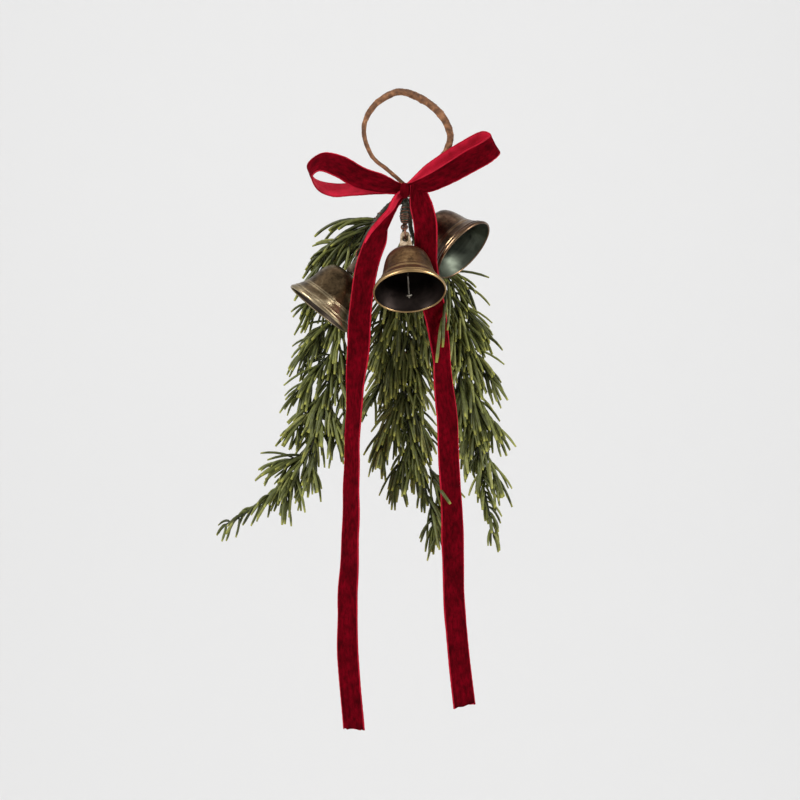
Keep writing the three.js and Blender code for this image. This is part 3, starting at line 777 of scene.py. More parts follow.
def turned_profile(side, profile, segments, dent):
    """A closed profile turned round a bell's axis: points, faces, UVs and heights."""
    mouth, up, bore, across = BELL_FRAMES[side]
    points, uvs, heights = [], [], []
    for radius, height in profile:
        for j in range(segments):
            angle = 2 * math.pi * j / segments
            ray = across * math.cos(angle) + bore * math.sin(angle)
            spot = Vector((math.cos(angle) * 1.7, math.sin(angle) * 1.7,
                           height * 0.09 + SIDES.index(side) * 5))
            wobble = dent * noise.noise(spot) + dent * 0.4 * noise.noise(spot * 3.1)
            points.append(mouth + (ray * (radius + wobble) + up * height) * MM)
            heights.append(height)
    count = len(profile)
    faces = list(ring_quads(count, segments, closed=True))
    for k in range(count):
        low, high = profile[k][1] * MM, profile[(k + 1) % count][1] * MM
        for j in range(segments):
            uvs.append(((j / segments, low), ((j + 1) / segments, low),
                        ((j + 1) / segments, high), (j / segments, high)))
    return points, faces, uvs, heights


def make_shell(side):
    profile = BELL_OUTER + BELL_INNER
    segments = 112
    points, faces, uvs, heights = turned_profile(side, profile, segments, 0.13)
    inner_from = (len(BELL_OUTER) - 1) * segments
    kinds = [1 if inner_from <= i < (len(profile) - 2) * segments else 0 for i in range(len(faces))]
    obj = make_piece(f"brass_bell_{side}", points, faces, [BRASS[side], INSIDE[side]], face_material=kinds)
    set_uvs(obj, uvs)
    store_points(obj.data, "bell_height", heights)
    outward(obj)
    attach(obj, f"bell_{side}")
    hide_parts(f"bell_{side}_shell")


def lug_outline(count):
    """The lug seen along its bore, round from the top, as (across, height) in millimetres."""
    base_half, top_half, base_h, top_centre_h = 5.4, 3.15, 31.4, 44.1
    corners = [(0, 47.25)]
    corners += [(top_half * math.sin(a), top_centre_h + top_half * math.cos(a))
                for a in (math.pi / 8 * i for i in range(1, 5))]
    corners += [(3.5, 40), (4.2, 36), (4.9, 33), (base_half, base_h), (0, base_h)]
    corners += [(-x, h) for x, h in reversed(corners[:-1])][:-1]
    loop = corners + [corners[0]]
    lengths = [0.0]
    for (x0, h0), (x1, h1) in zip(loop, loop[1:]):
        lengths.append(lengths[-1] + math.hypot(x1 - x0, h1 - h0))
    outline = []
    for i in range(count):
        target = lengths[-1] * i / count
        k = max(j for j in range(len(loop) - 1) if lengths[j] <= target)
        t = (target - lengths[k]) / (lengths[k + 1] - lengths[k])
        outline.append((loop[k][0] + t * (loop[k + 1][0] - loop[k][0]),
                        loop[k][1] + t * (loop[k + 1][1] - loop[k][1])))
    return outline


def make_lug(side):
    """A rounded plate with a hole, swelling towards the crown, with a cast surface."""
    mouth, up, bore, across = BELL_FRAMES[side]
    count, hole_r = 64, 2.12
    # A section from the hole's rim over the front to the outer edge and back again, as (share across,
    # share of depth).
    section = [(0.0, 0.0), (0.0, 0.6), (0.05, 0.9), (0.16, 1.0), (0.4, 1.0), (0.65, 0.98), (0.84, 0.9),
               (0.95, 0.66), (1.0, 0.3)]
    section += [(s, -d) for s, d in reversed(section[1:])]
    outline = lug_outline(count)
    points = []
    for x, h in outline:
        angle = math.atan2(x, h - LUG_HOLE_H)
        inner = (hole_r * math.sin(angle), LUG_HOLE_H + hole_r * math.cos(angle))
        for share, depth in section:
            px, ph = inner[0] + (x - inner[0]) * share, inner[1] + (h - inner[1]) * share
            half = 2.0 + 0.6 * max(0.0, min(1.0, (38 - ph) / 6))
            place = across * px + up * ph + bore * half * depth
            if share > 0.02:
                rough = noise.noise(place * 0.8) * 0.28 + noise.noise(place * 2.2) * 0.12
                place += bore * rough * depth
            points.append(mouth + place * MM)
    faces = ring_quads(count, len(section), closed=True)
    obj = make_piece(f"cast_lug_{side}", points, list(faces), [CAST[side]])
    outward(obj)
    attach(obj, f"bell_{side}")
    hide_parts(f"bell_{side}_lug")


def ring_faces(centre, normal, first, radius, wire, start, segments=40, sides=12):
    """Points and faces of a wire ring; start is the number of points already in the mesh."""
    second = normal.cross(first).normalized()
    points = []
    for i in range(segments):
        angle = 2 * math.pi * i / segments
        ray = first * math.cos(angle) + second * math.sin(angle)
        for j in range(sides):
            turn = 2 * math.pi * j / sides
            points.append(centre + (ray * (radius + wire * math.cos(turn))
                                    + normal * wire * math.sin(turn)) * MM)
    faces = ring_quads(segments, sides, closed=True)
    return points, [tuple(start + n for n in face) for face in faces]


def turned_post(base, axis, profile, start, segments=20):
    """Points and faces of a solid turned from (radius, distance) pairs about an axis, with closed ends."""
    first = axis.orthogonal().normalized()
    second = axis.cross(first)
    points = []
    for radius, distance in profile:
        for j in range(segments):
            angle = 2 * math.pi * j / segments
            points.append(base + (axis * distance + (first * math.cos(angle)
                                                     + second * math.sin(angle)) * radius) * MM)
    faces = [tuple(start + n for n in face) for face in ring_quads(len(profile), segments)]
    last = (len(profile) - 1) * segments
    faces.append(tuple(start + j for j in reversed(range(segments))))
    faces.append(tuple(start + last + j for j in range(segments)))
    return points, faces


def join_parts(name, makers, material, body, nodes):
    """One object from several closed parts, each made by a function of the points so far."""
    points, faces = [], []
    for maker in makers:
        more_points, more_faces = maker(len(points))
        points += more_points
        faces += more_faces
    obj = make_piece(name, points, faces, [material])
    outward(obj)
    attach(obj, body)
    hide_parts(*nodes)
    return obj


def node_centre(name):
    vertices = frame["nodes"][name].data.vertices
    return sum((v.co for v in vertices), Vector()) / len(vertices)


def make_clapper(side):
    mouth, up, bore, _ = BELL_FRAMES[side]
    pivot = Vector(joint(f"clapper_swing_{side}")["pos_m"])
    hinge = Vector(joint(f"clapper_swing_{side}")["axis"]).normalized()
    down = (node_centre(f"bell_{side}_striker") - pivot).normalized()
    join_parts(f"clapper_{side}", (
        lambda start: ring_faces(pivot + down * 0.3 * MM, hinge, down, CLAPPER_EYE, CLAPPER_EYE_WIRE, start),
        lambda start: turned_post(pivot, down, ((0.2, 1.5), (0.55, 1.8), (0.55, 9), (0.72, 9.4), (0.72, 10.2),
                                                (0.55, 10.6), (0.55, 21), (0.5, 23.4), (0.3, 23.7)), start),
    ), PALE_METAL, f"clapper_{side}", [f"bell_{side}_clapper_rod"])
    join_parts(f"clapper_disc_{side}", (
        lambda start: turned_post(pivot, down, ((0.62, 21.3), (1.7, 21.3), (2.05, 21.55), (2.1, 21.95),
                                                (2.05, 22.3), (1.7, 22.55), (0.62, 22.6)), start, 36),
    ), PALE_METAL, f"clapper_{side}", [f"bell_{side}_striker"])
    hook_centre = mouth + up * HOOK_EYE_H * MM
    join_parts(f"clapper_hook_{side}", (
        lambda start: ring_faces(hook_centre, bore, up, CLAPPER_EYE, CLAPPER_EYE_WIRE, start),
        lambda start: turned_post(mouth, up, ((0.5, 27.2), (0.7, 27.3), (0.7, 27.9), (2.6, 27.95),
                                              (2.95, 28.1), (2.95, 28.5), (2.6, 28.65)), start, 6),
    ), PALE_METAL, f"bell_{side}", [f"bell_{side}_clapper_hook"])


def make_bells():
    for side in SIDES:
        make_shell(side)
        make_lug(side)
        make_clapper(side)


# ------------------------------------------------------------------ stems and wires

RING, RING_WIRE = 4.5, 0.5                    # radii of a hanging ring, millimetres
STEM_EYE, STEM_EYE_WIRE = 1.9, 0.55           # and of the eye that it hangs from

# Routes of the taped bell stems, millimetres, with their radius.
BELL_STEMS = {
    "left": [(-0.3, -0.5, -66.5, 1), (-0.7, -0.5, -67.6, 1.1), (-7.2, -1.5, -70.3, 1.7),
             (-15.6, -3.2, -79.3, 1.9), (-19.6, -3.6, -86, 1.7), (-22.8, -3, -95.4, 1.2)],
    "centre": [(1.8, -2.7, -66.5, 1.1), (1.8, -2.9, -67.8, 1.4), (1.6, -4.5, -72, 2.6), (1.1, -7, -79, 3),
               (1, -8.1, -82.6, 2.2)],
    "right": [(5.5, -0.6, -66.5, 1), (5.7, -0.4, -67.6, 1.1), (8.6, 4, -69, 1.3), (8, 10.5, -68.4, 1.3)],
}


def tape_finish(name, dark, middle, light):
    """Florist's tape: stretched crepe, dark and waxy, with paler ridges."""
    finish = Finish(name)
    cloud = finish.math("MULTIPLY", finish.noise(380.0, 5.0), 0.5)
    blend = finish.math("MULTIPLY_ADD", finish.streaks((3, 420, 1), 4.0), 0.5, cloud)
    return finish.surface(Base_Color=finish.ramp(blend, (0.36, dark), (0.52, middle), (0.68, light)),
                          Roughness=0.6, Normal=finish.bump(blend, 0.6, 0.0005))


def taped_rod(name, stations, steps, seed, material, knob=0.16):
    """A rod wound with tape, knobby where the turns bunch up."""
    path = smooth_path(stations, steps)
    radii = [blend_stations(stations, along, 3) * MM for _, along in path]

    def knobby(angle, run):
        wave = 0.5 + 0.5 * math.sin(run / MM * 2.4 + angle + seed)
        bunch = noise.noise(Vector((math.cos(angle) * 0.8, math.sin(angle) * 0.8, run * 420 + seed)))
        return 0.92 + knob * wave + knob * 0.9 * bunch

    return tube_piece(name, [p * MM for p, _ in path], radii, 18, material, knobby)


COIL_POINTS = 200         # points taken along the rod that the wire is wound on


def coil_route(stations, first, last, turns, clearance):
    """A helix round part of a rod, in metres."""
    path = smooth_path(stations, COIL_POINTS)
    lines = [p for p, _ in path]
    headings = tangents(lines)
    across = Vector((1, 0, 0))
    route = []
    steps = int(turns * 14)
    for i in range(steps + 1):
        spot = (first + (last - first) * i / steps) * COIL_POINTS
        k = min(int(spot), COIL_POINTS - 1)
        centre = lines[k].lerp(lines[k + 1], spot - k)
        turn = headings[k]
        across = (across - turn * across.dot(turn)).normalized()
        angle = 2 * math.pi * turns * i / steps
        radius = blend_stations(stations, path[k][1], 3) + clearance
        ray = across * math.cos(angle) + turn.cross(across) * math.sin(angle)
        route.append((centre + ray * radius) * MM)
    return route


def make_stems():
    for number, side in enumerate(SIDES):
        ring = joint(f"ring_swing_{side}")
        top = Vector(ring["pos_m"])
        low = Vector(joint(f"bell_sway_{side}")["pos_m"])
        up = (top - low).normalized()
        normal = Vector(ring["axis"]).normalized()
        join_parts(f"hanging_ring_{side}", (
            lambda start: ring_faces(low + up * RING * MM, normal, up, RING, RING_WIRE, start, 64),
        ), COPPERY_WIRE, f"ring_{side}", [f"bell_{side}_wire_ring"])
        end = (top + up * (2 * STEM_EYE) * MM) / MM
        stations = BELL_STEMS[side] + [(*end, 0.8)]
        rod = taped_rod(f"taped_stem_{side}", stations, 90, number * 3.1, STEM_TAPE)
        outward(rod)
        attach(rod, "root")
        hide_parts(f"bell_{side}_stem")
        join_parts(f"stem_eye_{side}", (
            lambda start: ring_faces(top + up * STEM_EYE * MM, normal.cross(up).normalized(), up,
                                     STEM_EYE, STEM_EYE_WIRE, start),
        ), COPPERY_WIRE, "root", [f"bell_{side}_stem"])
        route = coil_route(stations, 0.45, 0.9, 7, 0.25)
        coil = tube_piece(f"stem_wire_{side}", route, [0.32 * MM] * len(route), 8, COPPERY_WIRE)
        outward(coil)
        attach(coil, "root")
        spray_stem = [(*point, radius) for point, radius in zip(SPRAYS[side]["stem"], SPRAY_STEM_RADII)]
        rod = taped_rod(f"spray_stem_{side}", spray_stem, 220, number * 1.7 + 1, SPRAY_BARK, 0.1)
        outward(rod)
        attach(rod, "root")
        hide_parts(f"spray_{side}_stem")


SPRAY_STEM_RADII = (1, 1.1, 1.5, 1.5, 1.2, 1.1, 1.1, 1, 0.9, 0.8, 0.7)


def make_neck():
    """The bound neck under the knot, where every stem is taped to the hanger."""
    stations = [(2.6, 0, z, radius)
                for z, radius in ((-58.9, 3.2), (-60, 3.9), (-63, 4.0), (-65, 3.8), (-66.1, 3.0))]
    rod = taped_rod("taped_neck", stations, 60, 5.0, NECK_TAPE, 0.07)
    outward(rod)
    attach(rod, "root")
    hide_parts("neck_binding")


# ------------------------------------------------------------------ foliage

# Each spray: the route of its stem, then the twigs that leave it as (root, tip) with a needle size.
SPRAYS = {
    "left": {
        "stem": [(0.4, 1.9, -66.5), (0.2, 2.2, -67.8), (-7, 4.4, -73), (-19.5, 9, -84), (-28, 15, -97.5),
                 (-37.7, 24, -133), (-46, 24, -172), (-54, 19, -211), (-67, 16, -240), (-89.7, 14, -263)],
        "twigs": [((-25, 10.5, -87), (-66, 21, -114)), ((-35, 24, -114), (-73, 25, -150)),
                  ((-43, 26, -143), (-73, 26, -182)), ((-48.5, 25, -168), (-75, 22, -211)),
                  ((-54, 21.5, -197), (-77, 20, -231)), ((-34, 22, -132), (-29.5, 20, -177)),
                  ((-41, 24, -165), (-37.5, 20, -206)), ((-48.5, 20, -201), (-42, 18, -241)),
                  ((-58, 17, -231), (-60, 16, -264)),
                  ((-62, 17, -234), (-95, 14, -246)), ((-70, 15, -244), (-80, 14, -270)),
                  ((-50, 24, -190), (-58, 20, -240)), ((-44, 22, -180), (-35, 18, -226)),
                  ((-34, 22, -118), (-44, 24, -160))],
    },
    "centre": {
        "stem": [(2.6, 2.9, -66.5), (2.6, 3.3, -68.5), (0.5, 8, -90), (-0.65, 10, -107), (-2, 10, -146),
                 (0, 10, -185), (5.9, 11, -224), (14.3, 11, -257)],
        "twigs": [((-5, 10, -136), (-20, 8, -172)), ((-5, 10, -166), (-22, 8, -214)),
                  ((-2, 10, -197), (-18, 9, -250)), ((2.6, 11, -228), (-5, 10, -266)),
                  ((1.4, 10, -150), (12, 9, -196)), ((6, 11, -202), (17, 10, -242)),
                  ((17.5, 11, -243), (30, 10, -277)), ((15.3, 11, -260), (24.5, 10, -304)),
                  ((3, 11, -215), (6, 12, -262)), ((-3, 12, -160), (-8, 14, -205)),
                  ((-2, 11, -116), (-19, 12, -158)), ((0, 11, -116), (16, 12, -160)),
                  ((-3, 12, -143), (-21, 12, -190)), ((2, 12, -166), (15, 12, -214)),
                  ((4, 12, -188), (-9, 12, -236)), ((-1, 14, -112), (3, 15, -150)),
                  ((4, 12, -118), (22, 13, -163)), ((6, 12, -140), (24, 13, -190))],
    },
    "right": {
        "stem": [(4.8, 1.9, -66.5), (4.8, 2.6, -68.6), (4.6, 8, -76), (5.5, 18, -87), (12, 29, -99),
                 (24, 33, -110), (31.9, 30, -122), (41.6, 25, -159), (46, 20, -198), (49.4, 16, -231),
                 (52, 14, -252)],
        "twigs": [((31, 33.5, -113), (49, 31, -133)), ((39, 29, -136), (56, 26, -166)),
                  ((45.5, 25, -164), (61, 22, -199)), ((49, 20, -196), (64, 18, -231)),
                  ((52, 16, -228), (63, 14, -265)), ((33.5, 27.5, -138), (31, 24, -181)),
                  ((40, 23.5, -172), (37, 20, -215)), ((44, 18.5, -207), (41.5, 16, -248)),
                  ((36, 29, -140), (46, 26, -182)), ((44, 21, -192), (52, 18, -240)),
                  ((28, 27, -120), (23, 22, -165)), ((34, 26, -148), (28, 20, -198)),
                  ((39, 22, -190), (34, 18, -236))],
    },
}
# Thin runners that end two of the sprays.
RUNNERS = {"left": [(-88, 14, -262.5), (-98, 13.5, -269), (-108, 13, -275), (-116, 12.5, -279.5)],
           "right": [(52.6, 13.8, -254), (55, 13, -265), (57.5, 12.6, -277), (59.5, 12.2, -288)]}
NEEDLE_REACH = 17.0       # millimetres that the last needles stand past the end of their twig
BARE_STEM_Z = -88         # the stems carry needles below this height


def foliage_finish():
    """Waxy green needles: darker at the foot, yellower at the blunt tip, each a slightly different green."""
    finish = Finish("evergreen_needles")
    along = finish.attribute("along_needle")
    mottle = finish.noise(420.0, 3.0)
    body = finish.ramp(finish.attribute("needle_shade"), (0.0, (0.024, 0.030, 0.008)),
                       (0.45, (0.070, 0.082, 0.020)), (0.8, (0.125, 0.140, 0.034)),
                       (1.0, (0.20, 0.205, 0.060)))
    tip = finish.ramp(along, (0.0, grey(0.0)), (0.86, grey(0.10)), (0.97, grey(0.75)), (1.0, grey(0.9)))
    tipped = finish.mix(tip, body, (0.33, 0.33, 0.06))
    foot = finish.ramp(along, (0.0, grey(0.45)), (0.25, grey(1.0)))
    speck = finish.ramp(mottle, (0.3, grey(0.72)), (0.7, grey(1.3)))
    darkened = finish.mix(1.0, tipped, foot, "MULTIPLY")
    return finish.surface(Base_Color=finish.mix(1.0, darkened, speck, "MULTIPLY"), Roughness=0.46,
                          Specular_IOR_Level=0.28, Normal=finish.bump(mottle, 0.25, 0.0003))


def twig_lines(spray):
    """Every twig of a spray as a list of points in millimetres, with its needle size."""
    rng = random.Random(SIDES.index(spray) + 21)
    data = SPRAYS[spray]
    stem = [p for p, _ in smooth_path(data["stem"], 60)]
    lines = [([p for p in stem if p.z < BARE_STEM_Z], 0.9)]
    if spray in RUNNERS:
        lines.append(([Vector(p) for p in RUNNERS[spray]], 0.5))
    for root, tip in data["twigs"]:
        root, tip = Vector(root), Vector(tip)
        reach = (tip - root).length
        bow = Vector((math.copysign(0.05, tip.x - root.x), 0, 0.03)) * reach
        end_share = 1 - NEEDLE_REACH / reach
        line = [root + bow * (share * (1 - share) * 4) + (tip - root) * share
                for share in (i * end_share / 4 for i in range(5))]
        lines.append((line, 1.0))
        for share in (0.1, 0.32, 0.55):
            start = root.lerp(tip, share) + bow * (share * (1 - share) * 4)
            turn = rng.choice((-1, 1)) * rng.uniform(0.18, 0.42)
            swing = Matrix.Rotation(turn, 3, "Y") @ (tip - root).normalized()
            swing += Vector((0, rng.uniform(-0.18, 0.22), -0.25))
            size = max(5.0, reach * (1 - share) * rng.uniform(0.6, 0.85) - NEEDLE_REACH)
            end = start + swing.normalized() * size
            middle = start.lerp(end, 0.5) + Vector((0, 0, 0.04 * size))
            lines.append(([start, middle, end], 0.85))
    return lines


TIP_TAPER = 0.42          # how much shorter the needles are at the end of a twig


def twig_mesh(lines):
    """The twigs as open chains of edges that carry their needle size, in metres."""
    points, edges, sizes = [], [], []
    for line, size in lines:
        fine = [p for p, _ in smooth_path(line, 14)]
        edges += [(len(points) + i, len(points) + i + 1) for i in range(len(fine) - 1)]
        points += [p * MM for p in fine]
        sizes += [size * (1 - TIP_TAPER * (i / len(fine)) ** 2) for i in range(len(fine))]
    mesh = bpy.data.meshes.new("twigs")
    mesh.from_pydata(points, edges, [])
    store_points(mesh, "needle_size", sizes)
    return mesh


def tree_node(tree, kind, inputs=(), **settings):
    """A node of a tree. Its inputs, by name or number, are given a value or linked to a socket."""
    node = tree.nodes.new(kind)
    for key, value in settings.items():
        setattr(node, key, value)
    for key, value in dict(inputs).items():
        if isinstance(value, bpy.types.NodeSocket):
            tree.links.new(value, node.inputs[key])
        else:
            node.inputs[key].default_value = value
    return node


def random_value(tree, low, high, seed, seed_shift):
    """A random float for each element; returns its output."""
    node = tree_node(tree, "FunctionNodeRandomValue", data_type="FLOAT")
    sockets = {s.identifier: s for s in node.inputs}
    sockets["Min_001"].default_value = low
    sockets["Max_001"].default_value = high
    shift = tree_node(tree, "ShaderNodeMath", {0: seed, 1: seed_shift})
    tree.links.new(shift.outputs[0], sockets["Seed"])
    return next(s for s in node.outputs if s.identifier == "Value_001")


def store(tree, geometry, name, value, domain, kind="FLOAT"):
    """Keeps a value as a named attribute of a geometry; returns the geometry."""
    return tree_node(tree, "GeometryNodeStoreNamedAttribute",
                     {"Name": name, "Geometry": geometry, "Value": value},
                     data_type=kind, domain=domain).outputs[0]


def stored(tree, name, kind="FLOAT"):
    return tree_node(tree, "GeometryNodeInputNamedAttribute", {"Name": name}, data_type=kind).outputs[0]


def turned(tree, rotation, x=0.0, y=0.0, z=0.0):
    """A rotation turned in its own frame by euler angles, each a number or a socket."""
    angles = tree_node(tree, "ShaderNodeCombineXYZ", {0: x, 1: y, 2: z}).outputs[0]
    euler = tree_node(tree, "FunctionNodeEulerToRotation", {0: angles}).outputs[0]
    return tree_node(tree, "FunctionNodeRotateRotation", {0: rotation, 1: euler},
                     rotation_space="LOCAL").outputs[0]


SAG_POWER = 1.8           # how late along a needle its sag sets in
TREE_INPUTS = (
    ("Twigs", "NodeSocketGeometry", None), ("Needle Spacing", "NodeSocketFloat", 0.0032),
    ("Needles Per Node", "NodeSocketInt", 2), ("Needle Length", "NodeSocketFloat", 0.0225),
    ("Needle Radius", "NodeSocketFloat", 0.00110), ("Twig Radius", "NodeSocketFloat", 0.0006),
    ("Tip Droop", "NodeSocketFloat", 0.0045), ("Seed", "NodeSocketInt", 1),
    ("Finish", "NodeSocketMaterial", None),
)


def needle_tree():
    """Geometry Nodes: curved needles set round every twig, pointing towards its tip."""
    tree = bpy.data.node_groups.new("needles_on_twigs", "GeometryNodeTree")
    tree.interface.new_socket(name="Needles", in_out="OUTPUT", socket_type="NodeSocketGeometry")
    for name, kind, value in TREE_INPUTS:
        socket = tree.interface.new_socket(name=name, in_out="INPUT", socket_type=kind)
        if value is not None:
            socket.default_value = value
    link = tree.links.new

    def add(kind, inputs=(), **settings):
        return tree_node(tree, kind, inputs, **settings)

    given = add("NodeGroupInput").outputs

    # One needle along +Z: a bent, tapered blade with a flattened section.
    bend = {}
    for name, share in (("Middle", (0.12, 0, 0.45)), ("End", (0.08, 0, 1.0))):
        bend[name] = add("ShaderNodeVectorMath", {0: share, "Scale": given["Needle Length"]},
                         operation="SCALE").outputs[0]
    arc = add("GeometryNodeCurveQuadraticBezier", {"Resolution": 5, "Start": (0, 0, 0), **bend})
    factor = add("GeometryNodeSplineParameter").outputs["Factor"]
    blade = store(tree, arc.outputs[0], "along_needle", factor, "POINT")
    taper = add("ShaderNodeFloatCurve", {"Value": factor})
    curve = taper.mapping.curves[0]
    curve.points[0].location = (0, 0.62)
    curve.points[1].location = (1, 0.66)
    curve.points.new(0.2, 1.0)
    curve.points.new(0.9, 1.0)
    taper.mapping.update()
    ring = add("GeometryNodeCurvePrimitiveCircle", {"Resolution": 6, "Radius": given["Needle Radius"]})
    flat = add("GeometryNodeTransform", {0: ring.outputs[0], "Scale": (1.0, 0.72, 1)})
    needle = add("GeometryNodeCurveToMesh", {"Fill Caps": True, "Curve": blade, "Scale": taper.outputs[0],
                                             "Profile Curve": flat.outputs[0]})

    # Places along the twigs, several needles at each, turned about the twig and leaning off it.
    chains = add("GeometryNodeMeshToCurve", {0: given["Twigs"]})
    even = add("GeometryNodeResampleCurve", mode="LENGTH")
    link(chains.outputs[0], even.inputs["Curve"])
    link(given["Needle Spacing"], even.inputs["Length"])
    places = add("GeometryNodeCurveToPoints", {"Curve": even.outputs[0]}, mode="EVALUATED")
    facing = store(tree, places.outputs["Points"], "twig_turn", places.outputs["Rotation"], "POINT",
                   "QUATERNION")
    copies = add("GeometryNodeDuplicateElements", {"Geometry": facing, "Amount": given["Needles Per Node"]},
                 domain="POINT")
    seed = given["Seed"]
    around = turned(tree, stored(tree, "twig_turn", "QUATERNION"), z=random_value(tree, 0, 6.283, seed, 1))
    leaning = turned(tree, around, y=random_value(tree, 0.08, 0.70, seed, 2))
    length = add("ShaderNodeMath", {0: stored(tree, "needle_size"),
                                    1: random_value(tree, 0.62, 1.2, seed, 3)}, operation="MULTIPLY")
    stretch = add("ShaderNodeCombineXYZ", {0: 1.0, 1: 1.0, 2: length.outputs[0]})
    placed = add("GeometryNodeInstanceOnPoints", {"Points": copies.outputs["Geometry"],
                                                  "Instance": needle.outputs[0], "Rotation": leaning,
                                                  "Scale": stretch.outputs[0]})
    shaded = store(tree, placed.outputs[0], "needle_shade", random_value(tree, 0, 1, seed, 4), "INSTANCE")
    number = add("GeometryNodeInputIndex").outputs[0]
    counted = store(tree, shaded, "needle_number", number, "INSTANCE")

    # The twigs themselves.
    round_bark = add("GeometryNodeCurvePrimitiveCircle", {"Resolution": 6, "Radius": given["Twig Radius"]})
    bark = add("GeometryNodeCurveToMesh", {"Fill Caps": True, "Curve": chains.outputs[0],
                                           "Profile Curve": round_bark.outputs[0]})
    barked = store(tree, bark.outputs[0], "needle_number", -1.0, "POINT")
    together = add("GeometryNodeJoinGeometry")
    link(counted, together.inputs[0])
    link(barked, together.inputs[0])
    real = add("GeometryNodeRealizeInstances", {0: together.outputs[0]})
    sagging = drooped(tree, real.outputs[0], given["Tip Droop"])
    coloured = add("GeometryNodeSetMaterial", {"Geometry": sagging, "Material": given["Finish"]})
    link(coloured.outputs[0], add("NodeGroupOutput").inputs[0])
    return tree


def drooped(tree, geometry, droop):
    """Lets the needles sag towards their tips; returns the geometry."""
    share = tree_node(tree, "ShaderNodeMath", {0: stored(tree, "along_needle"), 1: SAG_POWER},
                      operation="POWER")
    fall = tree_node(tree, "ShaderNodeMath", {0: share.outputs[0], 1: droop}, operation="MULTIPLY")
    down = tree_node(tree, "ShaderNodeVectorMath", {0: (0, 0, -1), "Scale": fall.outputs[0]},
                     operation="SCALE")
    return tree_node(tree, "GeometryNodeSetPosition",
                     {"Geometry": geometry, "Offset": down.outputs[0]}).outputs[0]


def run_tree(name, mesh, tree, **values):
    """Runs a Geometry Nodes tree on a mesh and keeps the result as a plain mesh object."""
    obj = bpy.data.objects.new(name, mesh)
    bpy.context.scene.collection.objects.link(obj)
    modifier = obj.modifiers.new(tree.name, "NODES")
    modifier.node_group = tree
    for socket in tree.interface.items_tree:
        if socket.item_type == "SOCKET" and socket.in_out == "INPUT":
            key = socket.name.replace(" ", "_").lower()
            if key in values:
                modifier[socket.identifier] = values[key]
    bake_modifiers(obj)
    return obj


DEEPEST_NEEDLE = CAD_BOX[1][1] + 0.009


def keep_off_bells(obj):
    """Takes away every needle that would run into a bell."""
    work = bmesh.new()
    work.from_mesh(obj.data)
    number = work.verts.layers.float["needle_number"]
    blocked = set()
    for vert in work.verts:
        if vert[number] >= 0 and (vert.co.y > DEEPEST_NEEDLE or any(near_bell(s, vert.co) for s in SIDES)):
            blocked.add(round(vert[number]))
    doomed = [v for v in work.verts if round(v[number]) in blocked]
    bmesh.ops.delete(work, geom=doomed, context="VERTS")
    work.to_mesh(obj.data)
    work.free()


PLUME_NEEDLES = 56
PLUME_STEM = [Vector(p) for p in ((-15, 7.5, -80.5), (-22, 11, -84.5), (-27, 14, -92), (-30, 17, -100))]
# Loose needles that lie over the right ribbon tail: root, middle, tip.
STRAY_NEEDLES = [
    ((28, 2, -128), (26.5, -12, -142), (25.5, -14.6, -164)),
    ((27, 0, -140), (24, -13.5, -153), (21.5, -15.2, -174)),
    ((29, 2, -121), (30, -10, -137), (28.5, -13, -153)),
    ((20, 4, -250), (25.5, -13, -258), (30.5, -14.5, -265)),
]


def long_needle(points, thickness, shade, start):
    """Points, faces and attributes of one long needle."""
    steps, sides = 9, 6
    path = [p * MM for p, _ in smooth_path(points, steps)]
    radii = [thickness * MM * min(1.0, 0.6 + 2.5 * t, 0.7 + 4 * (1 - t))
             for t in (i / steps for i in range(steps + 1))]
    spots, faces, _ = tube_mesh(path, radii, sides)
    along = [i // sides / steps for i in range(len(spots))]
    return spots, [tuple(start + n for n in face) for face in faces], along, [shade] * len(spots)


def make_plume():
    """The fountain of long needles where the left spray leaves its stem, and a few loose ones."""
    rng = random.Random(77)
    needles = []
    for _ in range(PLUME_NEEDLES):
        share = rng.random()
        k = min(int(share * 3), 2)
        root = PLUME_STEM[k].lerp(PLUME_STEM[k + 1], share * 3 - k)
        heading = Vector((-1, rng.uniform(0.05, 0.5), rng.uniform(-0.5, 0.45) - 0.5 * share)).normalized()
        length = rng.uniform(32, 54)
        sag = rng.uniform(0.0085, 0.0125)
        points = []
        for t in (0, 0.3, 0.6, 0.85, 1):
            run = length * t
            points.append(root + heading * run * (1 - 0.14 * t) + Vector((0, 0, -sag * run * run)))
        if not any(near_bell("left", p * MM) for p in points):
            needles.append(points)
    needles += [[Vector(p) for p in stray] for stray in STRAY_NEEDLES]
    points, faces, along, shades = [], [], [], []
    for needle in needles:
        parts = long_needle(needle, rng.uniform(0.85, 1.08), rng.random(), len(points))
        for total, part in zip((points, faces, along, shades), parts):
            total.extend(part)
    obj = make_piece("foliage_plume_left", points, faces, [FOLIAGE])
    store_points(obj.data, "along_needle", along)
    store_points(obj.data, "needle_shade", shades)
    outward(obj)
    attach(obj, "root")


def make_foliage():
    tree = needle_tree()
    for side in SIDES:
        obj = run_tree(f"foliage_spray_{side}", twig_mesh(twig_lines(side)), tree,
                       seed=SIDES.index(side) * 10 + 3, finish=FOLIAGE)
        keep_off_bells(obj)
        obj.data.shade_smooth()
        outward(obj)
        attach(obj, "root")
        count = sum(name.startswith(f"spray_{side}_sprig") for name in frame["nodes"])
        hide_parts(*[f"spray_{side}_sprig_{i + 1}" for i in range(count)])


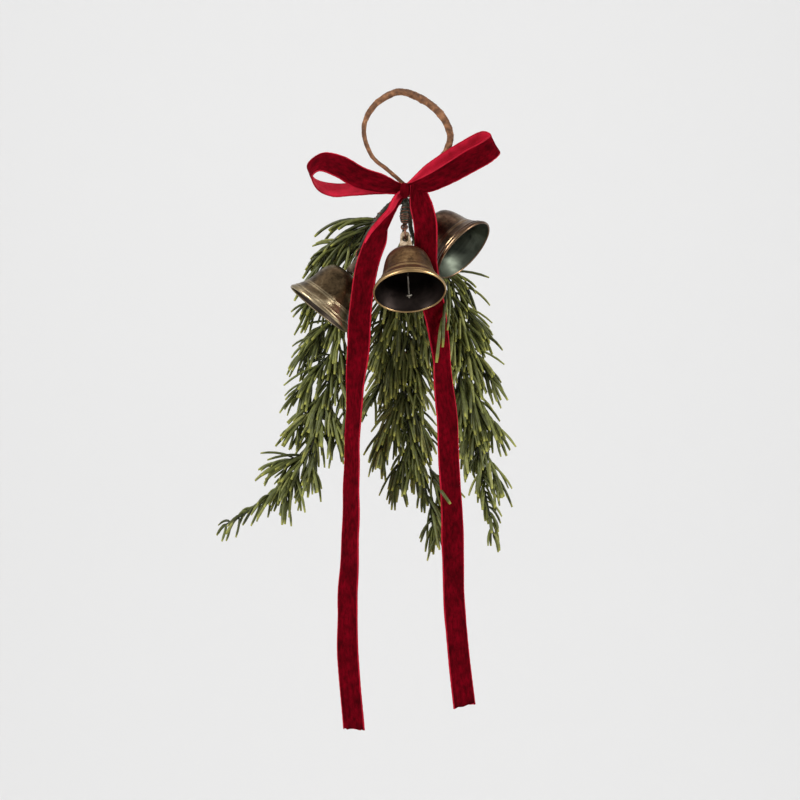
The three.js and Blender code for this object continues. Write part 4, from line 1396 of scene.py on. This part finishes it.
VELVET = velvet_finish()
RIBBON_BACK = woven_back_finish("ribbon_satin_back", (0.30, 0.0025, 0.014), (0.62, 0.012, 0.042))
RIBBON_EDGE = woven_back_finish("ribbon_selvedge", (0.22, 0.0010, 0.009), (0.44, 0.004, 0.022), 900.0)
KRAFT = kraft_finish()
FOLIAGE = foliage_finish()
# The centre lug's pale tone is partly painted light from above; the side lugs use the same casting at 0.3 of
# its lightness.
CAST = {"left": cast_finish("dark_cast_lug", 0.3), "centre": cast_finish("pale_cast_lug", 1.0)}
CAST["right"] = CAST["left"]
# Dark, brown and gold tones, roughness and brightness of the lip, for each bell.
BRASS = {side: brass_finish(f"antique_brass_{side}", *values) for side, *values in (
    # The left bell's gold is paler and greyer than the others' and is partly a painted highlight.
    ("left", (0.036, 0.024, 0.013), (0.14, 0.094, 0.050), (0.56, 0.46, 0.29), 0.30, 0.45),
    ("centre", (0.042, 0.022, 0.010), (0.16, 0.088, 0.038), (0.42, 0.28, 0.13), 0.31, 0.85),
    ("right", (0.036, 0.020, 0.013), (0.12, 0.068, 0.042), (0.33, 0.23, 0.13), 0.27, 0.12),
)}
# Each bell's inside has its own darkness: the centre's near black is partly painted shade, and the right
# one's paler grey-green is partly a painted reflection.
INSIDE = {side: inside_finish(f"bell_inside_{side}", *values) for side, *values in (
    ("left", (0.02, 0.015, 0.012), (0.09, 0.07, 0.055), 0.45),
    ("centre", (0.012, 0.009, 0.008), (0.045, 0.034, 0.030), 0.45),
    ("right", (0.016, 0.019, 0.014), (0.115, 0.130, 0.100), 0.46),
)}
PALE_METAL = metal_finish("worn_clapper_metal", (0.20, 0.17, 0.13), (0.62, 0.58, 0.50), 0.38)
COPPERY_WIRE = metal_finish("reddish_brown_wire", (0.10, 0.042, 0.026), (0.26, 0.115, 0.075), 0.45)
STEM_TAPE = tape_finish("dark_stem_tape", (0.005, 0.006, 0.003), (0.016, 0.019, 0.008),
                        (0.045, 0.046, 0.020))
NECK_TAPE = tape_finish("olive_neck_tape", (0.05, 0.045, 0.016), (0.13, 0.115, 0.040), (0.26, 0.23, 0.09))
SPRAY_BARK = tape_finish("spray_stem_tape", (0.008, 0.009, 0.004), (0.024, 0.024, 0.010),
                         (0.055, 0.050, 0.022))
BELL_FRAMES = {side: bell_frame(side) for side in SIDES}

set_camera()
set_backdrop()
set_lights()
make_bow()
make_hanger()
make_neck()
make_stems()
make_bells()
make_foliage()
make_plume()
